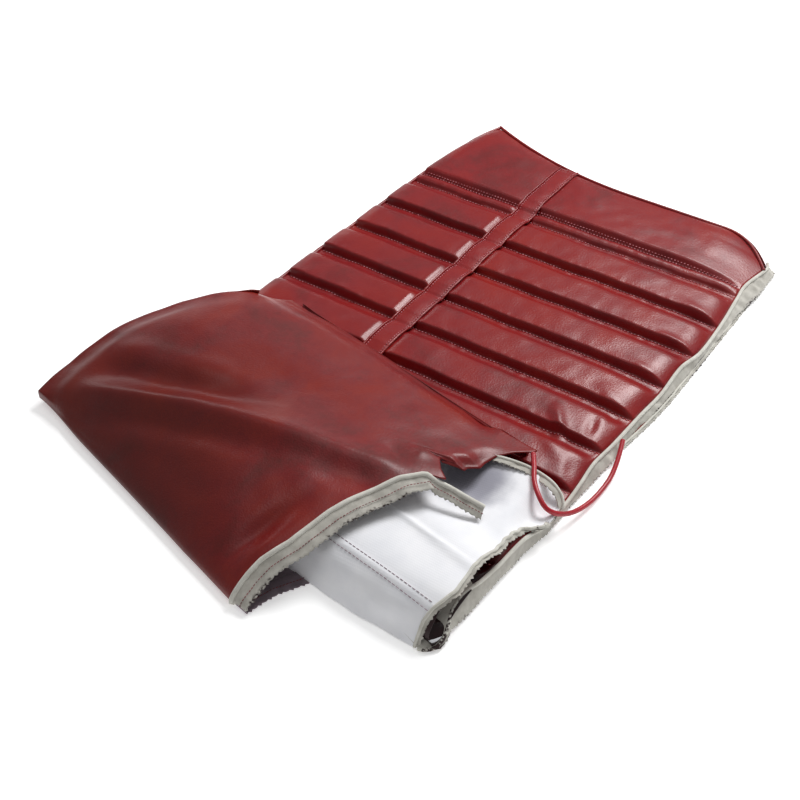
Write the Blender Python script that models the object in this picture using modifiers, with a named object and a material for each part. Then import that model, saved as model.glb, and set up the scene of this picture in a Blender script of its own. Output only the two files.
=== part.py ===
# Vehicle rear seat backrest cover in red vinyl, lying folded once across its width.
# It is a sewn sock: a pleated front on foam flutes and white cloth, a plain back, narrow
# boxing panels, and a mouth edge bound all round. The right part lies face up on the table
# and the left part is folded over on top of it, turned a little, with its lining upwards.
# Metres, +Z up, +X along the folded length, the closed long edge at +Y and the mouth at -Y.
import math

import bmesh
import bpy
from mathutils import Vector

# Flutes and seams
FLUTE_PITCH = 0.070       # one flute, seam to seam
BASE_FLUTES = 9           # flutes that lie face up in the right part
STRIP_WIDTH = 0.018       # narrow flute between the two seams beside each bolster
END_SEAM_X = 0.2955       # outer seam, where the right bolster begins
SEAM_GAP = 0.0022         # room for the stitches between two foam strips

# Plan of the part that lies on the table
END_X = 0.404             # right end, at its narrowest
END_FLARE = 1.0           # how fast the end swings outwards towards the closed edge, 1/m
CLOSED_Y = 0.226          # closed edge
MOUTH_Y = -0.281          # mouth edge
CORNER_DROP = 0.023       # how far the closed edge droops at the right corner
CORNER_SPAN = END_X - END_SEAM_X + 0.0615   # bolster's width along the closed edge
CORNER_CUT = 0.055        # how far the end runs in at the mouth corner

# Fold
FOLD_ANGLE = math.radians(8.0)   # the fold leans this far from the Y direction
FOLD_X = -0.3775                 # fold line at Y = 0
FOLD_LEAD = 0.022                # flat layers stop this far inside the fold line
OUTER_BULGE = 0.0775             # outer fold of the back panel past the fold line, at the mouth
FREE_ANGLE = math.radians(11.0)  # lean of the flap's free edge

# Layers, bottom to top
VINYL = 0.0012            # front vinyl
BACK_VINYL = 0.0015       # back vinyl
CLOTH = 0.0008            # white backing cloth
CLEAR = 0.0005            # gap kept between layers
FOAM_EASE = 0.0015        # foam stops this far below the vinyl over it
BAG_GAP = 0.0080          # room inside the bag, between back and lining
FLUTE_HIGH = 0.0140       # lining to the crest of a flute
FLUTE_LOW = 0.0070        # lining to the stitched valley
LAYER_GAP = 0.0065        # between the two pleated faces, one lying on the other
FOLDED_HIGH = 0.0160      # the folded front, face to lining
BOLSTER_HIGH = 0.0052     # the same where only the thin left bolster lies
FLAP_RIDGE = 0.0500       # highest line of the flap's back panel, above the folded front
FLAP_EDGE = 0.0085        # free edge of the flap, above the folded front
FLAP_START = 0.0260       # where the flap leaves the fold, above the folded front

# Edges and trims
WELT_R = 0.0023           # piping radius
BAND_Y = 0.0415           # centre of the trim band across the flutes
BAND_WIDTH = 0.031
BAND_CORD_R = 0.0012
LISTING_WIDTH = 0.018     # grey binding strip round the mouth
LISTING_THICK = 0.0012
BOXING_BULGE = 0.0075
TAIL_R = 0.0028

FLAP_SPLIT = 0.34         # where the valley runs, as a share of the flap from its free end

collection = bpy.data.collections.new("seat_back_cover")

for old in list(bpy.data.objects):
    bpy.data.objects.remove(old)
bpy.context.scene.collection.children.link(collection)


def material(name, colour, roughness):
    mat = bpy.data.materials.new(name)
    mat.use_nodes = True
    shader = mat.node_tree.nodes["Principled BSDF"]
    shader.inputs["Base Color"].default_value = (*colour, 1.0)
    shader.inputs["Roughness"].default_value = roughness
    return mat


COLOURS = {
    "vinyl": ((0.20, 0.035, 0.038), 0.42),
    "foam": ((0.72, 0.70, 0.62), 0.90),
    "cloth": ((0.84, 0.85, 0.88), 0.85),
    "listing": ((0.55, 0.53, 0.47), 0.80),
    "piping": ((0.34, 0.010, 0.018), 0.35),
}


def publish(obj, finish):
    """Gives the object its own material and shows it in the cover's collection."""
    colour, roughness = COLOURS[finish]
    obj.data.materials.append(material(obj.name + "_" + finish, colour, roughness))
    collection.objects.link(obj)
    return obj


# ---------------------------------------------------------------- plan curves
def smooth(t):
    t = min(max(t, 0.0), 1.0)
    return t * t * (3.0 - 2.0 * t)


def closed_edge(x):
    past = max(0.0, (x - END_SEAM_X) / CORNER_SPAN)
    return CLOSED_Y - 0.03 * x - CORNER_DROP * past * past


def mouth_edge(x):
    return MOUTH_Y + 0.026 * smooth((0.08 - x) / 0.30)


def end_edge(y):
    flare = END_FLARE * max(0.0, y + 0.06) ** 2
    cut = CORNER_CUT * max(0.0, (MOUTH_Y + 0.083 - y) / 0.08) ** 2
    return END_X + flare - cut


def fold_line(y):
    return FOLD_X + math.tan(FOLD_ANGLE) * y


def inner_line(y):
    """Where the flat layers stop, a little inside the fold."""
    return fold_line(y) + FOLD_LEAD


def seam_x(i):
    """Seam number i, counted from the right: 0 and 1 are the double seam."""
    return END_SEAM_X if i == 0 else END_SEAM_X - STRIP_WIDTH - (i - 1) * FLUTE_PITCH


# ---------------------------------------------------------------- heights
BACK_TOP = BACK_VINYL
LINING_Z = BACK_TOP + BAG_GAP
FOAM_Z = LINING_Z + CLOTH + CLEAR
VALLEY_Z = LINING_Z + FLUTE_LOW
CREST_Z = LINING_Z + FLUTE_HIGH
FOLDED_Z = CREST_Z + LAYER_GAP


def flute_profile(s):
    """Height share across one flute, from its right seam (0) to its left seam (1)."""
    rise = smooth((s - 0.10) / 0.30)
    fall = smooth((1.0 - s) / 0.08)
    return min(rise, fall)


def edge_fall(x, y):
    """Share of the full height near the mouth and the closed edge."""
    to_mouth = smooth((y - mouth_edge(x)) / 0.11)
    to_closed = smooth((closed_edge(x) - y) / 0.030)
    return 0.10 + 0.90 * to_mouth, 0.35 + 0.65 * to_closed


def face_z(x, y):
    """Top of the front vinyl on the table side."""
    share = 1.0
    if x < END_SEAM_X:
        for i in range(BASE_FLUTES + 2):
            right, left = seam_x(i), seam_x(i + 1)
            if left <= x <= right:
                share = flute_profile((right - x) / (right - left))
                break
    mouth, closed = edge_fall(x, y)
    top = VALLEY_Z + (CREST_Z - VALLEY_Z) * share * min(1.0, closed + 0.3)
    top -= (1.0 - closed) * 0.004
    low = FOAM_Z + VINYL + CLEAR
    return low + (top - low) * mouth


# ---------------------------------------------------------------- makers
def stations(values, t):
    """Reads a list of stations at t = 0..1, counting list steps."""
    k = t * (len(values) - 1)
    i = min(int(k + 1e-6), len(values) - 2)
    return values[i] + (values[i + 1] - values[i]) * (k - i)


def grid(nu, nv):
    """A flat grid whose points hold their own (u, v) in 0..1."""
    bm = bmesh.new()
    bmesh.ops.create_grid(bm, x_segments=nu, y_segments=nv, size=0.5)
    for vert in bm.verts:
        vert.co = (vert.co.x + 0.5, vert.co.y + 0.5, 0.0)
    return bm


def layer(name, finish, nu, nv, plan, bottom, top):
    """A layer between two height functions over a plan: plan(u, v) gives (x, y)."""
    bm = grid(nu, nv)
    raised = bmesh.ops.extrude_face_region(bm, geom=bm.faces[:])
    upper = {e for e in raised["geom"] if isinstance(e, bmesh.types.BMVert)}
    for vert in bm.verts:
        x, y = plan(vert.co.x, vert.co.y)
        vert.co = (x, y, top(x, y) if vert in upper else bottom(x, y))
    if bm.calc_volume(signed=True) < 0.0:
        bmesh.ops.reverse_faces(bm, faces=bm.faces[:])
    mesh = bpy.data.meshes.new(name)
    bm.to_mesh(mesh)
    bm.free()
    return publish(bpy.data.objects.new(name, mesh), finish)


def skin(name, finish, nu, nv, place, thickness):
    """A curved sheet: place(u, v) gives a point, and the wall grows to the back of it."""
    bm = grid(nu, nv)
    for vert in bm.verts:
        vert.co = place(vert.co.x, vert.co.y)
    mesh = bpy.data.meshes.new(name)
    bm.to_mesh(mesh)
    bm.free()
    obj = publish(bpy.data.objects.new(name, mesh), finish)
    wall = obj.modifiers.new("wall", "SOLIDIFY")
    wall.thickness = thickness
    wall.offset = -1.0
    return obj


def tube(name, finish, points, radius):
    """A round cord through points."""
    curve = bpy.data.curves.new(name, "CURVE")
    curve.dimensions = "3D"
    curve.bevel_depth = radius
    curve.bevel_resolution = 2
    curve.use_fill_caps = True
    spline = curve.splines.new("POLY")
    spline.points.add(len(points) - 1)
    for item, point in zip(spline.points, points):
        item.co = (*point, 1.0)
    return publish(bpy.data.objects.new(name, curve), finish)


def fit(x_at, low_at, high_at, v):
    """The point at share v between two long edges, on a line whose X depends on Y."""
    y = 0.0
    for _ in range(4):
        x = x_at(y)
        y = low_at(x) + (high_at(x) - low_at(x)) * v
    return x_at(y), y


def spread(a, b, n):
    return [a + (b - a) * i / (n - 1) for i in range(n)]


def flat(z):
    return lambda x, y: z


# ---------------------------------------------------------------- table side
MOUTH_INSET = 0.0005
END_INSET = WELT_R + CLEAR


def low_edge(inset=0.0):
    return lambda x: mouth_edge(x) + MOUTH_INSET + inset


def high_edge(inset=0.0):
    return lambda x: closed_edge(x) - WELT_R - CLEAR - inset


def base_plan(u, v):
    """The whole table side: u from the fold to the right end, v from mouth to closed edge."""
    def x_at(y):
        left = inner_line(y) + CLEAR
        return left + (end_edge(y) - END_INSET - left) * u
    return fit(x_at, low_edge(), high_edge(), v)


layer("back_panel_base", "vinyl", 10, 8, base_plan, flat(0.0), flat(BACK_TOP))
layer("backing_cloth_base", "cloth", 10, 8, base_plan, flat(LINING_Z), flat(LINING_Z + CLOTH))

FLUTE_STEPS = [0.0, 0.10, 0.25, 0.42, 0.70, 0.92, 1.0]
Y_STEPS = [0.0, 0.10, 0.22, 0.45, 0.75, 0.94, 1.0]


def flute_stations(first, last):
    """X stations across flutes, right to left."""
    xs = [seam_x(first)]
    for i in range(first, last):
        right, left = seam_x(i), seam_x(i + 1)
        steps = FLUTE_STEPS if i > 0 else [0.0, 0.35, 0.65, 1.0]
        xs += [right + (left - right) * s for s in steps[1:]]
    return xs


CREEP = 0.0008            # least step between two stations that the fold line cuts off


def strip_plan(xs, inset=0.0):
    """A plan over given X stations, from mouth to closed edge, kept inside the fold."""
    def plan(u, v):
        creep = CREEP * (1.0 - u) * (len(xs) - 1)
        return fit(lambda y: max(stations(xs, u), inner_line(y) + CLEAR + inset + creep),
                   low_edge(inset), high_edge(inset), stations(Y_STEPS, v))
    return plan


pleat_xs = flute_stations(0, BASE_FLUTES + 1)
pleat_xs = pleat_xs + [seam_x(BASE_FLUTES + 1) - 0.012, fold_line(MOUTH_Y) + FOLD_LEAD]
pleat_xs[0] -= CLEAR
layer("pleated_face_base", "vinyl", len(pleat_xs) - 1, len(Y_STEPS) - 1, strip_plan(pleat_xs),
      lambda x, y: face_z(x, y) - VINYL, face_z)


def under(skin_z):
    """Top of a foam piece below a skin: the lowest point of the skin close by, less the gaps."""
    near = (-2.0 * SEAM_GAP, -SEAM_GAP, 0.0, SEAM_GAP, 2.0 * SEAM_GAP)
    return lambda x, y: max(min(skin_z(x + d, y) for d in near) - VINYL - FOAM_EASE, FOAM_Z)


def foam_strip(name, right, left, inset):
    xs = [right + (left - right) * s for s in (0.0, 0.12, 0.35, 0.65, 0.9, 1.0)]
    layer(name, "foam", len(xs) - 1, len(Y_STEPS) - 1, strip_plan(xs, inset),
          flat(FOAM_Z - CLEAR * 0.4), under(face_z))


foam_strip("strip_foam_right", seam_x(0) - SEAM_GAP, seam_x(1) + SEAM_GAP, 0.004)
for n in range(1, BASE_FLUTES + 1):
    foam_strip(f"flute_foam_{n:02d}", seam_x(n) - SEAM_GAP, seam_x(n + 1) + SEAM_GAP, 0.004)


END_STEPS = [0.0, 0.06, 0.12, 0.20, 0.30, 0.42, 0.54, 0.66, 0.76, 0.85, 0.93, 1.0]


def bolster_plan(inset):
    def plan(u, v):
        left = END_SEAM_X + inset
        return fit(lambda y: left + (end_edge(y) - END_INSET - inset - left) * u,
                   low_edge(inset), high_edge(inset), stations(END_STEPS, v))
    return plan


def bolster_z(x, y):
    rise = 0.45 + 0.55 * smooth((x - END_SEAM_X) / 0.012)
    to_end = 0.55 + 0.45 * smooth((end_edge(y) - END_INSET - x) / 0.035)
    mouth, closed = edge_fall(x, y)
    low = FOAM_Z + VINYL + CLEAR
    return low + (CREST_Z + 0.001 - low) * mouth * (0.6 + 0.4 * closed) * min(rise, to_end)


layer("bolster_face_right", "vinyl", 7, len(END_STEPS) - 1, bolster_plan(0.0),
      lambda x, y: bolster_z(x, y) - VINYL, bolster_z)
layer("bolster_foam_right", "foam", 5, len(END_STEPS) - 1, bolster_plan(0.0030),
      flat(FOAM_Z - CLEAR * 0.4), under(bolster_z))

# Trim band across the flutes, with a cord turned into each long edge
band_xs = flute_stations(0, BASE_FLUTES + 1)
band_end = end_edge(BAND_Y) - END_INSET - 0.002
bolster_xs = spread(band_end, END_SEAM_X + 0.006, 8)
band_xs = bolster_xs + band_xs


def top_z(x, y):
    return bolster_z(x, y) if x > END_SEAM_X - CLEAR else face_z(x, y)


def over_z(x, y):
    """The band bridges the valleys: it rests on the highest point close by."""
    return max(top_z(x + d, y) for d in (-0.008, -0.004, 0.0, 0.004, 0.008)) + CLEAR


def band_plan(y0, width):
    def plan(u, v):
        x = stations(band_xs, u)
        return max(x, inner_line(y0) + 0.003), y0 + (v - 0.5) * width
    return plan


layer("trim_band", "vinyl", len(band_xs) - 1, 1, band_plan(BAND_Y, BAND_WIDTH - 0.006),
      over_z, lambda x, y: over_z(x, y) + VINYL)
cord_gap = BAND_WIDTH / 2 - BAND_CORD_R
for side, sign in (("upper", 1.0), ("lower", -1.0)):
    y = BAND_Y + sign * cord_gap
    xs = [x for x in bolster_xs + band_xs[8::2] if x > inner_line(y) + 0.004]
    tube(f"trim_band_cord_{side}", "vinyl",
         [(x, y, over_z(x, y) + BAND_CORD_R * 1.6) for x in xs], BAND_CORD_R)

# Right end: piping and boxing panel; closed edge: piping and boxing panel
WELT_Z = VALLEY_Z + 0.004
end_ys = spread(mouth_edge(END_X) + 0.004, closed_edge(END_X + 0.055) - 0.004, 17)
tube("end_piping_right", "piping", [(end_edge(y), y, WELT_Z) for y in end_ys], WELT_R)
tail_end_x = end_edge(end_ys[-1]) - 0.006
top_xs = spread(inner_line(CLOSED_Y) + 0.004, tail_end_x, 15)
tube("top_piping", "piping", [(x, closed_edge(x) + 0.0002, WELT_Z) for x in top_xs], WELT_R)


def boxing_height(u):
    return WELT_Z - WELT_R - CLEAR - (WELT_Z - WELT_R - CLEAR - 0.0004) * u


def end_boxing(u, v):
    y = end_ys[0] + (end_ys[-1] + 0.002 - end_ys[0]) * v
    bulge = BOXING_BULGE * math.sin(math.pi * (0.15 + 0.75 * u))
    return end_edge(y) + 0.0022 + bulge, y, boxing_height(u)


def top_boxing(u, v):
    x = top_xs[-1] + (top_xs[0] - top_xs[-1]) * v
    bulge = BOXING_BULGE * math.sin(math.pi * (0.15 + 0.75 * u))
    return x, closed_edge(x) + 0.0022 + bulge, boxing_height(u)


skin("end_boxing_right", "vinyl", 4, 16, end_boxing, VINYL)
skin("top_boxing_base", "vinyl", 4, 14, top_boxing, VINYL)


def listing(name, a, b, n, edge, inner_z, outer_z, width=LISTING_WIDTH):
    """A strip that hangs outwards from a mouth edge: edge(x) is its Y."""
    def plan(u, v):
        x = a + (b - a) * u
        return x, edge(x) - CLEAR - width * v

    def z(x, y):
        share = (edge(x) - CLEAR - y) / width
        return inner_z + (outer_z - inner_z) * share
    return layer(name, "listing", n, 1, plan, z, lambda x, y: z(x, y) + LISTING_THICK)


RIGHT_MOUTH_X = END_X - CORNER_CUT
listing("listing_back_base", inner_line(MOUTH_Y) + 0.06, RIGHT_MOUTH_X, 12, mouth_edge, 0.0, 0.0,
        LISTING_WIDTH * 0.7)
listing("listing_front_base", inner_line(MOUTH_Y) + 0.02, RIGHT_MOUTH_X, 12, mouth_edge,
        FOAM_Z + 0.001, 0.0026, LISTING_WIDTH * 0.8)

# ---------------------------------------------------------------- folded part
FLAP_TURN = 2.0 * FOLD_ANGLE      # a fold turns what lies past it by twice its own angle
ALONG = Vector((math.sin(FLAP_TURN), math.cos(FLAP_TURN)))
ACROSS = Vector((ALONG.y, -ALONG.x))
CROSS_Y = -0.066                  # where the last table seam and its mirror image cross
FIRST_FOLDED_SEAM = ACROSS.dot(Vector((seam_x(BASE_FLUTES + 1), CROSS_Y)))
DOUBLE_SEAM = FIRST_FOLDED_SEAM + FLUTE_PITCH
FOLDED_BOLSTER = DOUBLE_SEAM + STRIP_WIDTH
FREE_EDGE = FOLDED_BOLSTER + 0.147          # thin left bolster, to its end piping


def free_x(y, inset=0.0):
    """X of the flap's free edge."""
    return FREE_EDGE / ACROSS.x + math.tan(FREE_ANGLE) * y - inset


def seam_line(p, y):
    return (p - ACROSS.y * y) / ACROSS.x


def folded_x(p, y):
    """X at a turned station p: straight seams first, then spread towards the free edge."""
    if p <= FOLDED_BOLSTER:
        return seam_line(p, y)
    share = (p - FOLDED_BOLSTER) / (FREE_EDGE - FOLDED_BOLSTER)
    last = seam_line(FOLDED_BOLSTER, y)
    return last + (free_x(y) - last) * share


def folded_p(x, y):
    """The turned station of a point, the inverse of folded_x."""
    last = seam_line(FOLDED_BOLSTER, y)
    if x <= last:
        return ACROSS.x * x + ACROSS.y * y
    return FOLDED_BOLSTER + (FREE_EDGE - FOLDED_BOLSTER) * (x - last) / (free_x(y) - last)


def folded_mouth(x):
    """Mouth edge of the folded front."""
    return mouth_edge(x) + 0.012


def flap_top_edge(x):
    """Closed edge of the flap, an arc falling towards its free end."""
    t = (x - fold_line(0.30)) / 0.27
    return 0.312 - 0.145 * max(0.0, t) ** 1.9


FOLDED_INSET = 0.030      # the folded front stops this far inside the flap's closed edge
SEAM_DIP = 0.006          # the vinyl rises from a seam within this much


def folded_plan(p_list, y_inset=0.0):
    """A plan over turned stations p, from the mouth edge to the closed edge of the flap."""
    def plan(u, v):
        creep = CREEP * u * (len(p_list) - 1)
        p = stations(p_list, u)
        return fit(lambda y: max(folded_x(p, y), inner_line(y) + CLEAR + y_inset + creep),
                   lambda x: folded_mouth(x) + y_inset,
                   lambda x: flap_top_edge(x) - FOLDED_INSET - y_inset, stations(Y_STEPS, v))
    return plan


THINNING = 0.049          # past the double seam the front thins out over this much


def folded_thick(p):
    """Face to lining of the folded front, thick over flutes and thin over the bolster."""
    share = min(max((p - FOLDED_BOLSTER) / THINNING, 0.0), 1.0)
    return FOLDED_HIGH + (BOLSTER_HIGH - FOLDED_HIGH) * share


def folded_face_z(x, y):
    """Underside of the folded front vinyl, its red face downwards."""
    p = folded_p(x, y)
    share = 1.0
    for right, left in ((DOUBLE_SEAM, FIRST_FOLDED_SEAM), (FOLDED_BOLSTER, DOUBLE_SEAM)):
        if left <= p <= right:
            share = flute_profile((p - left) / (right - left))
    if p < FIRST_FOLDED_SEAM:
        share = smooth((FIRST_FOLDED_SEAM - p) / SEAM_DIP)
    lift = (1.0 - smooth((y - folded_mouth(x)) / 0.10)) * 0.60
    room = folded_thick(p) - 0.0040
    return FOLDED_Z + room * max(lift, 0.45 * (1.0 - share))


def folded_lining_z(x, y):
    return FOLDED_Z + folded_thick(folded_p(x, y))


start_p = folded_p(inner_line(CLOSED_Y), CLOSED_Y) - 0.010
folded_ps = [start_p, FIRST_FOLDED_SEAM - SEAM_DIP, FIRST_FOLDED_SEAM, FIRST_FOLDED_SEAM + 0.008]
folded_ps += [FIRST_FOLDED_SEAM + FLUTE_PITCH * s for s in (0.25, 0.5, 0.75, 0.93)]
folded_ps += [DOUBLE_SEAM, DOUBLE_SEAM + 0.007, FOLDED_BOLSTER - 0.007, FOLDED_BOLSTER - CLEAR]
bolster_end = FREE_EDGE - WELT_R - 4.0 * CLEAR
bolster_ps = [FOLDED_BOLSTER, FOLDED_BOLSTER + SEAM_DIP] + spread(FOLDED_BOLSTER + THINNING, bolster_end, 4)

layer("pleated_face_flap", "vinyl", len(folded_ps) - 1, len(Y_STEPS) - 1, folded_plan(folded_ps),
      folded_face_z, lambda x, y: folded_face_z(x, y) + VINYL)
layer("bolster_face_left", "vinyl", len(bolster_ps) - 1, len(Y_STEPS) - 1, folded_plan(bolster_ps),
      folded_face_z, lambda x, y: folded_face_z(x, y) + VINYL)
all_ps = folded_ps[:-1] + bolster_ps
layer("backing_cloth_flap", "cloth", len(all_ps) - 1, len(Y_STEPS) - 1, folded_plan(all_ps),
      folded_lining_z, lambda x, y: folded_lining_z(x, y) + CLOTH)


def folded_foam_low(x, y):
    near = (-2.0 * SEAM_GAP, -SEAM_GAP, 0.0, SEAM_GAP, 2.0 * SEAM_GAP)
    high = max(folded_face_z(x + d, y) for d in near) + VINYL + FOAM_EASE
    return min(high, folded_lining_z(x, y) - 2.5 * CLEAR)


def folded_foam_high(x, y):
    return folded_lining_z(x, y) - CLEAR


def folded_foam(name, ps, inset=0.006):
    layer(name, "foam", len(ps) - 1, len(Y_STEPS) - 1, folded_plan(ps, inset),
          folded_foam_low, folded_foam_high)


WEDGE_Y = -0.02           # flute 10 turns the fold: only a wedge of it lies in the flap


def wedge_plan(u, v):
    def x_at(y):
        left = inner_line(y) + 8.0 * CLEAR
        return left + (seam_line(FIRST_FOLDED_SEAM - SEAM_DIP - SEAM_GAP, y) - left) * u
    return fit(x_at, lambda x: WEDGE_Y, lambda x: flap_top_edge(x) - FOLDED_INSET - 0.01, v)


layer("flute_foam_10", "foam", 3, 5, wedge_plan, folded_foam_low, folded_foam_high)
folded_foam("flute_foam_11", spread(FIRST_FOLDED_SEAM + SEAM_GAP, DOUBLE_SEAM - SEAM_GAP, 6))
folded_foam("strip_foam_left", spread(DOUBLE_SEAM + SEAM_GAP, FOLDED_BOLSTER - SEAM_GAP, 4))
folded_foam("bolster_foam_left",
            [FOLDED_BOLSTER + SEAM_DIP + SEAM_GAP] + bolster_ps[2:-1] + [bolster_end - 0.004])

# Fold of the pleated front: red face inside the gap, white lining outside it


def hoop(y, low, high, reach, lean=1.0):
    """A C turned over the fold: t from 0, low and flat, round the left, to 1, high."""
    def at(t):
        start = inner_line(y)
        angle = math.pi * t
        share = ((1.0 - math.cos(angle)) / 2.0) ** lean
        return start - (start - reach) * math.sin(angle) ** 0.8, y, low + (high - low) * share
    return at


def front_fold_reach(y):
    """Outer face of the fold: the wall of the gap, standing on the table at the mouth."""
    return fold_line(y) + 0.022 * (1.0 - smooth((y - MOUTH_Y - 0.03) / 0.14)) - 0.006


def fold_y(v):
    return (mouth_edge(FOLD_X) + 0.008) * (1.0 - v) + (closed_edge(FOLD_X) - 0.012) * v


def lining_fold(u, v):
    y = fold_y(v)
    low, high = LINING_Z, folded_lining_z(inner_line(y), y) + CLOTH
    return hoop(y, low, high, front_fold_reach(y), 1.25)(u)


def face_fold(u, v):
    y = fold_y(v)
    x = inner_line(y)
    low = face_z(x + 0.001, y) - VINYL
    high = folded_face_z(x + 0.001, y) + VINYL
    low = min(low, high - 2.2 * VINYL - 0.003)
    reach = front_fold_reach(y) + (x - front_fold_reach(y)) * 0.30
    return hoop(y, low, high, reach, 1.1)(u)


skin("lining_fold", "cloth", 9, 8, lining_fold, CLOTH)
skin("face_fold", "vinyl", 9, 8, face_fold, VINYL)

# Back panel of the flap: bead edge at the mouth, raw edges at the torn corner, arc on top
MOUTH_RUN = [(-0.402, -0.089), (-0.364, -0.103), (-0.329, -0.114), (-0.291, -0.130),
             (-0.268, -0.147), (-0.250, -0.178), (-0.222, -0.155), (-0.212, -0.176),
             (-0.176, -0.186), (-0.136, -0.214)]


def flap_mouth(x):
    for (xa, ya), (xb, yb) in zip(MOUTH_RUN, MOUTH_RUN[1:]):
        if x <= xb:
            return ya + (yb - ya) * (x - xa) / (xb - xa)
    return MOUTH_RUN[-1][1]


FREE_INSET = 0.0025       # the back panel stops this far inside the free edge


def flap_plan(u, v):
    def x_at(y):
        left = inner_line(y) + CLEAR
        return left + (free_x(y, FREE_INSET) - left) * u
    return fit(x_at, flap_mouth, flap_top_edge, v)


def flap_u(x, y):
    """Share across the flap at a point, from the inner line to the free edge."""
    left = inner_line(y)
    return min(max((x - left) / (free_x(y, FREE_INSET) - left), 0.0), 1.0)


def flap_z(x, y):
    """Top of the flap's back panel: ridge, shallow valley, then down to the free edge."""
    u = flap_u(x, y)
    v = min(max((y + 0.16) / 0.45, 0.0), 1.0)
    ridge_at = 0.42 * (1.0 - v) + 0.06 * v
    ridge = FOLDED_Z + FLAP_RIDGE - 0.022 * v * v
    start = FOLDED_Z + FLAP_START - 0.005 * v
    valley = ridge - 0.009 + 0.004 * v
    rim = FOLDED_Z + FLAP_EDGE + 0.012 * v
    if u < ridge_at:
        z = start + (ridge - start) * math.sin(0.5 * math.pi * u / ridge_at)
    elif u < 1.0 - FLAP_SPLIT:
        z = ridge + (valley - ridge) * smooth((u - ridge_at) / (1.0 - FLAP_SPLIT - ridge_at))
    else:
        z = valley + (rim - valley) * smooth((u - 1.0 + FLAP_SPLIT) / FLAP_SPLIT)
    roll = smooth((flap_top_edge(x) - y) / 0.035)
    return z - 0.010 * (1.0 - roll)


layer("back_panel_flap", "vinyl", 20, 10, flap_plan,
      lambda x, y: flap_z(x, y) - BACK_VINYL, flap_z)


def outer_fold_reach(y):
    return fold_line(y) - 0.018 - (OUTER_BULGE - 0.018) * smooth((0.34 - y) / 0.44)


def back_fold(u, v):
    y = -0.098 + (flap_top_edge(inner_line(0.3)) - 0.004 + 0.098) * v
    low, high = 0.0004, flap_z(inner_line(y) + CLEAR, y)
    return hoop(y, low, high, outer_fold_reach(y), 1.7)(u)


skin("back_panel_fold", "vinyl", 12, 10, back_fold, BACK_VINYL)

# Edges of the flap: boxing panels, piping and the grey binding


def free_point(t, inset=0.0):
    """Along the flap's free edge, mouth to closed end."""
    low, high = -0.205, flap_top_edge(free_x(0.16)) - 0.006
    y = low + (high - low) * t
    return free_x(y, inset), y


def end_boxing_flap(u, v):
    x, y = free_point(v)
    low = FOLDED_Z + WELT_R + CLEAR
    high = flap_z(x - 0.006, y) - 0.0006
    z = low + (high - low) * (1.0 - u)
    return x + 0.0010 + 0.005 * math.sin(math.pi * u), y, z


skin("end_boxing_left", "vinyl", 5, 12, end_boxing_flap, VINYL)
low_points = [free_point(t / 14.0, 0.0005) for t in range(15)]
tube("end_piping_left", "piping",
     [(x, y, FOLDED_Z - WELT_R * 0.1) for x, y in low_points], WELT_R)


def top_boxing_flap(u, v):
    x0, x1 = inner_line(0.3) + 0.004, free_x(0.16, 0.014)
    x = x1 + (x0 - x1) * v
    y = flap_top_edge(x)
    high = flap_z(x, y - 0.001) - BACK_VINYL * 0.5
    low = folded_face_z(x, y - 0.02) + 0.0012
    z = high + (low - high) * u
    return x, y + 0.0020 + 0.006 * math.sin(math.pi * u), z


skin("top_boxing_flap", "vinyl", 5, 12, top_boxing_flap, VINYL)


def mouth_binding(u, v):
    """Grey binding of the flap's back panel, rolled down over its mouth edge."""
    xs = spread(inner_line(-0.1), -0.262, 9)
    x = stations(xs, v)
    y = flap_mouth(x) - 4.0 * CLEAR
    z = flap_z(x, y + 0.001) - BACK_VINYL * 0.5
    return x, y - LISTING_WIDTH * 0.9 * u, z - LISTING_WIDTH * 0.25 * u * u


skin("listing_back_flap", "listing", 3, 8, mouth_binding, -LISTING_THICK)


# Loose end of the piping, hanging from the torn corner on to the table
TAIL_ROUTE = [(-0.1420, -0.2170, 0.0425), (-0.1600, -0.2285, 0.0430), (-0.1755, -0.2375, 0.0420),
              (-0.1885, -0.2495, 0.0400), (-0.1960, -0.2640, 0.0330), (-0.1858, -0.2745, 0.0220),
              (-0.1645, -0.2815, 0.0110), (-0.1334, -0.2867, 0.0050), (-0.0950, -0.2868, 0.0036),
              (-0.0680, -0.2825, 0.0094), (-0.0425, -0.2752, 0.0162)]


def folded_binding_plan(u, v):
    start, end = inner_line(MOUTH_Y) + 0.012, TAIL_ROUTE[3][0] - 0.012
    x = start + (end - start) * u
    return x, folded_mouth(x) - CLEAR - 0.006 * v


layer("listing_front_flap", "listing", 12, 1, folded_binding_plan,
      lambda x, y: folded_lining_z(x, y + 0.008) - LISTING_THICK,
      lambda x, y: folded_lining_z(x, y + 0.008) + 0.0006)


def boxing_binding(u, v):
    x = -0.160 - 0.010 * v
    y = -0.206 - 0.036 * v
    return x + 0.008 * (u - 0.5), y, folded_lining_z(x, y) + CLOTH + 0.0012


skin("listing_end_left", "listing", 2, 5, boxing_binding, LISTING_THICK)

def smooth_route(route, steps):
    """A smooth curve through the route's own points."""
    pts = [Vector(p) for p in route]
    ext = [2 * pts[0] - pts[1]] + pts + [2 * pts[-1] - pts[-2]]
    out = []
    for a, b, c, d in zip(ext, ext[1:], ext[2:], ext[3:]):
        for k in range(steps):
            t = k / steps
            out.append(0.5 * ((2 * b) + (c - a) * t + (2 * a - 5 * b + 4 * c - d) * t * t
                              + (3 * b - a - 3 * c + d) * t ** 3))
    return out + [pts[-1]]


tube("piping_tail", "piping", smooth_route(TAIL_ROUTE, 3), TAIL_R)
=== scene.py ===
# A rear seat backrest cover in fluted red vinyl, lying folded once across its width.
# The right part lies face up on the table; the left part is folded over on top of it, so its
# plain back shows, with the white lining and the bound mouth below the fold.
import math

import bmesh
import bpy
from mathutils import Matrix, Vector, noise


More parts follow.
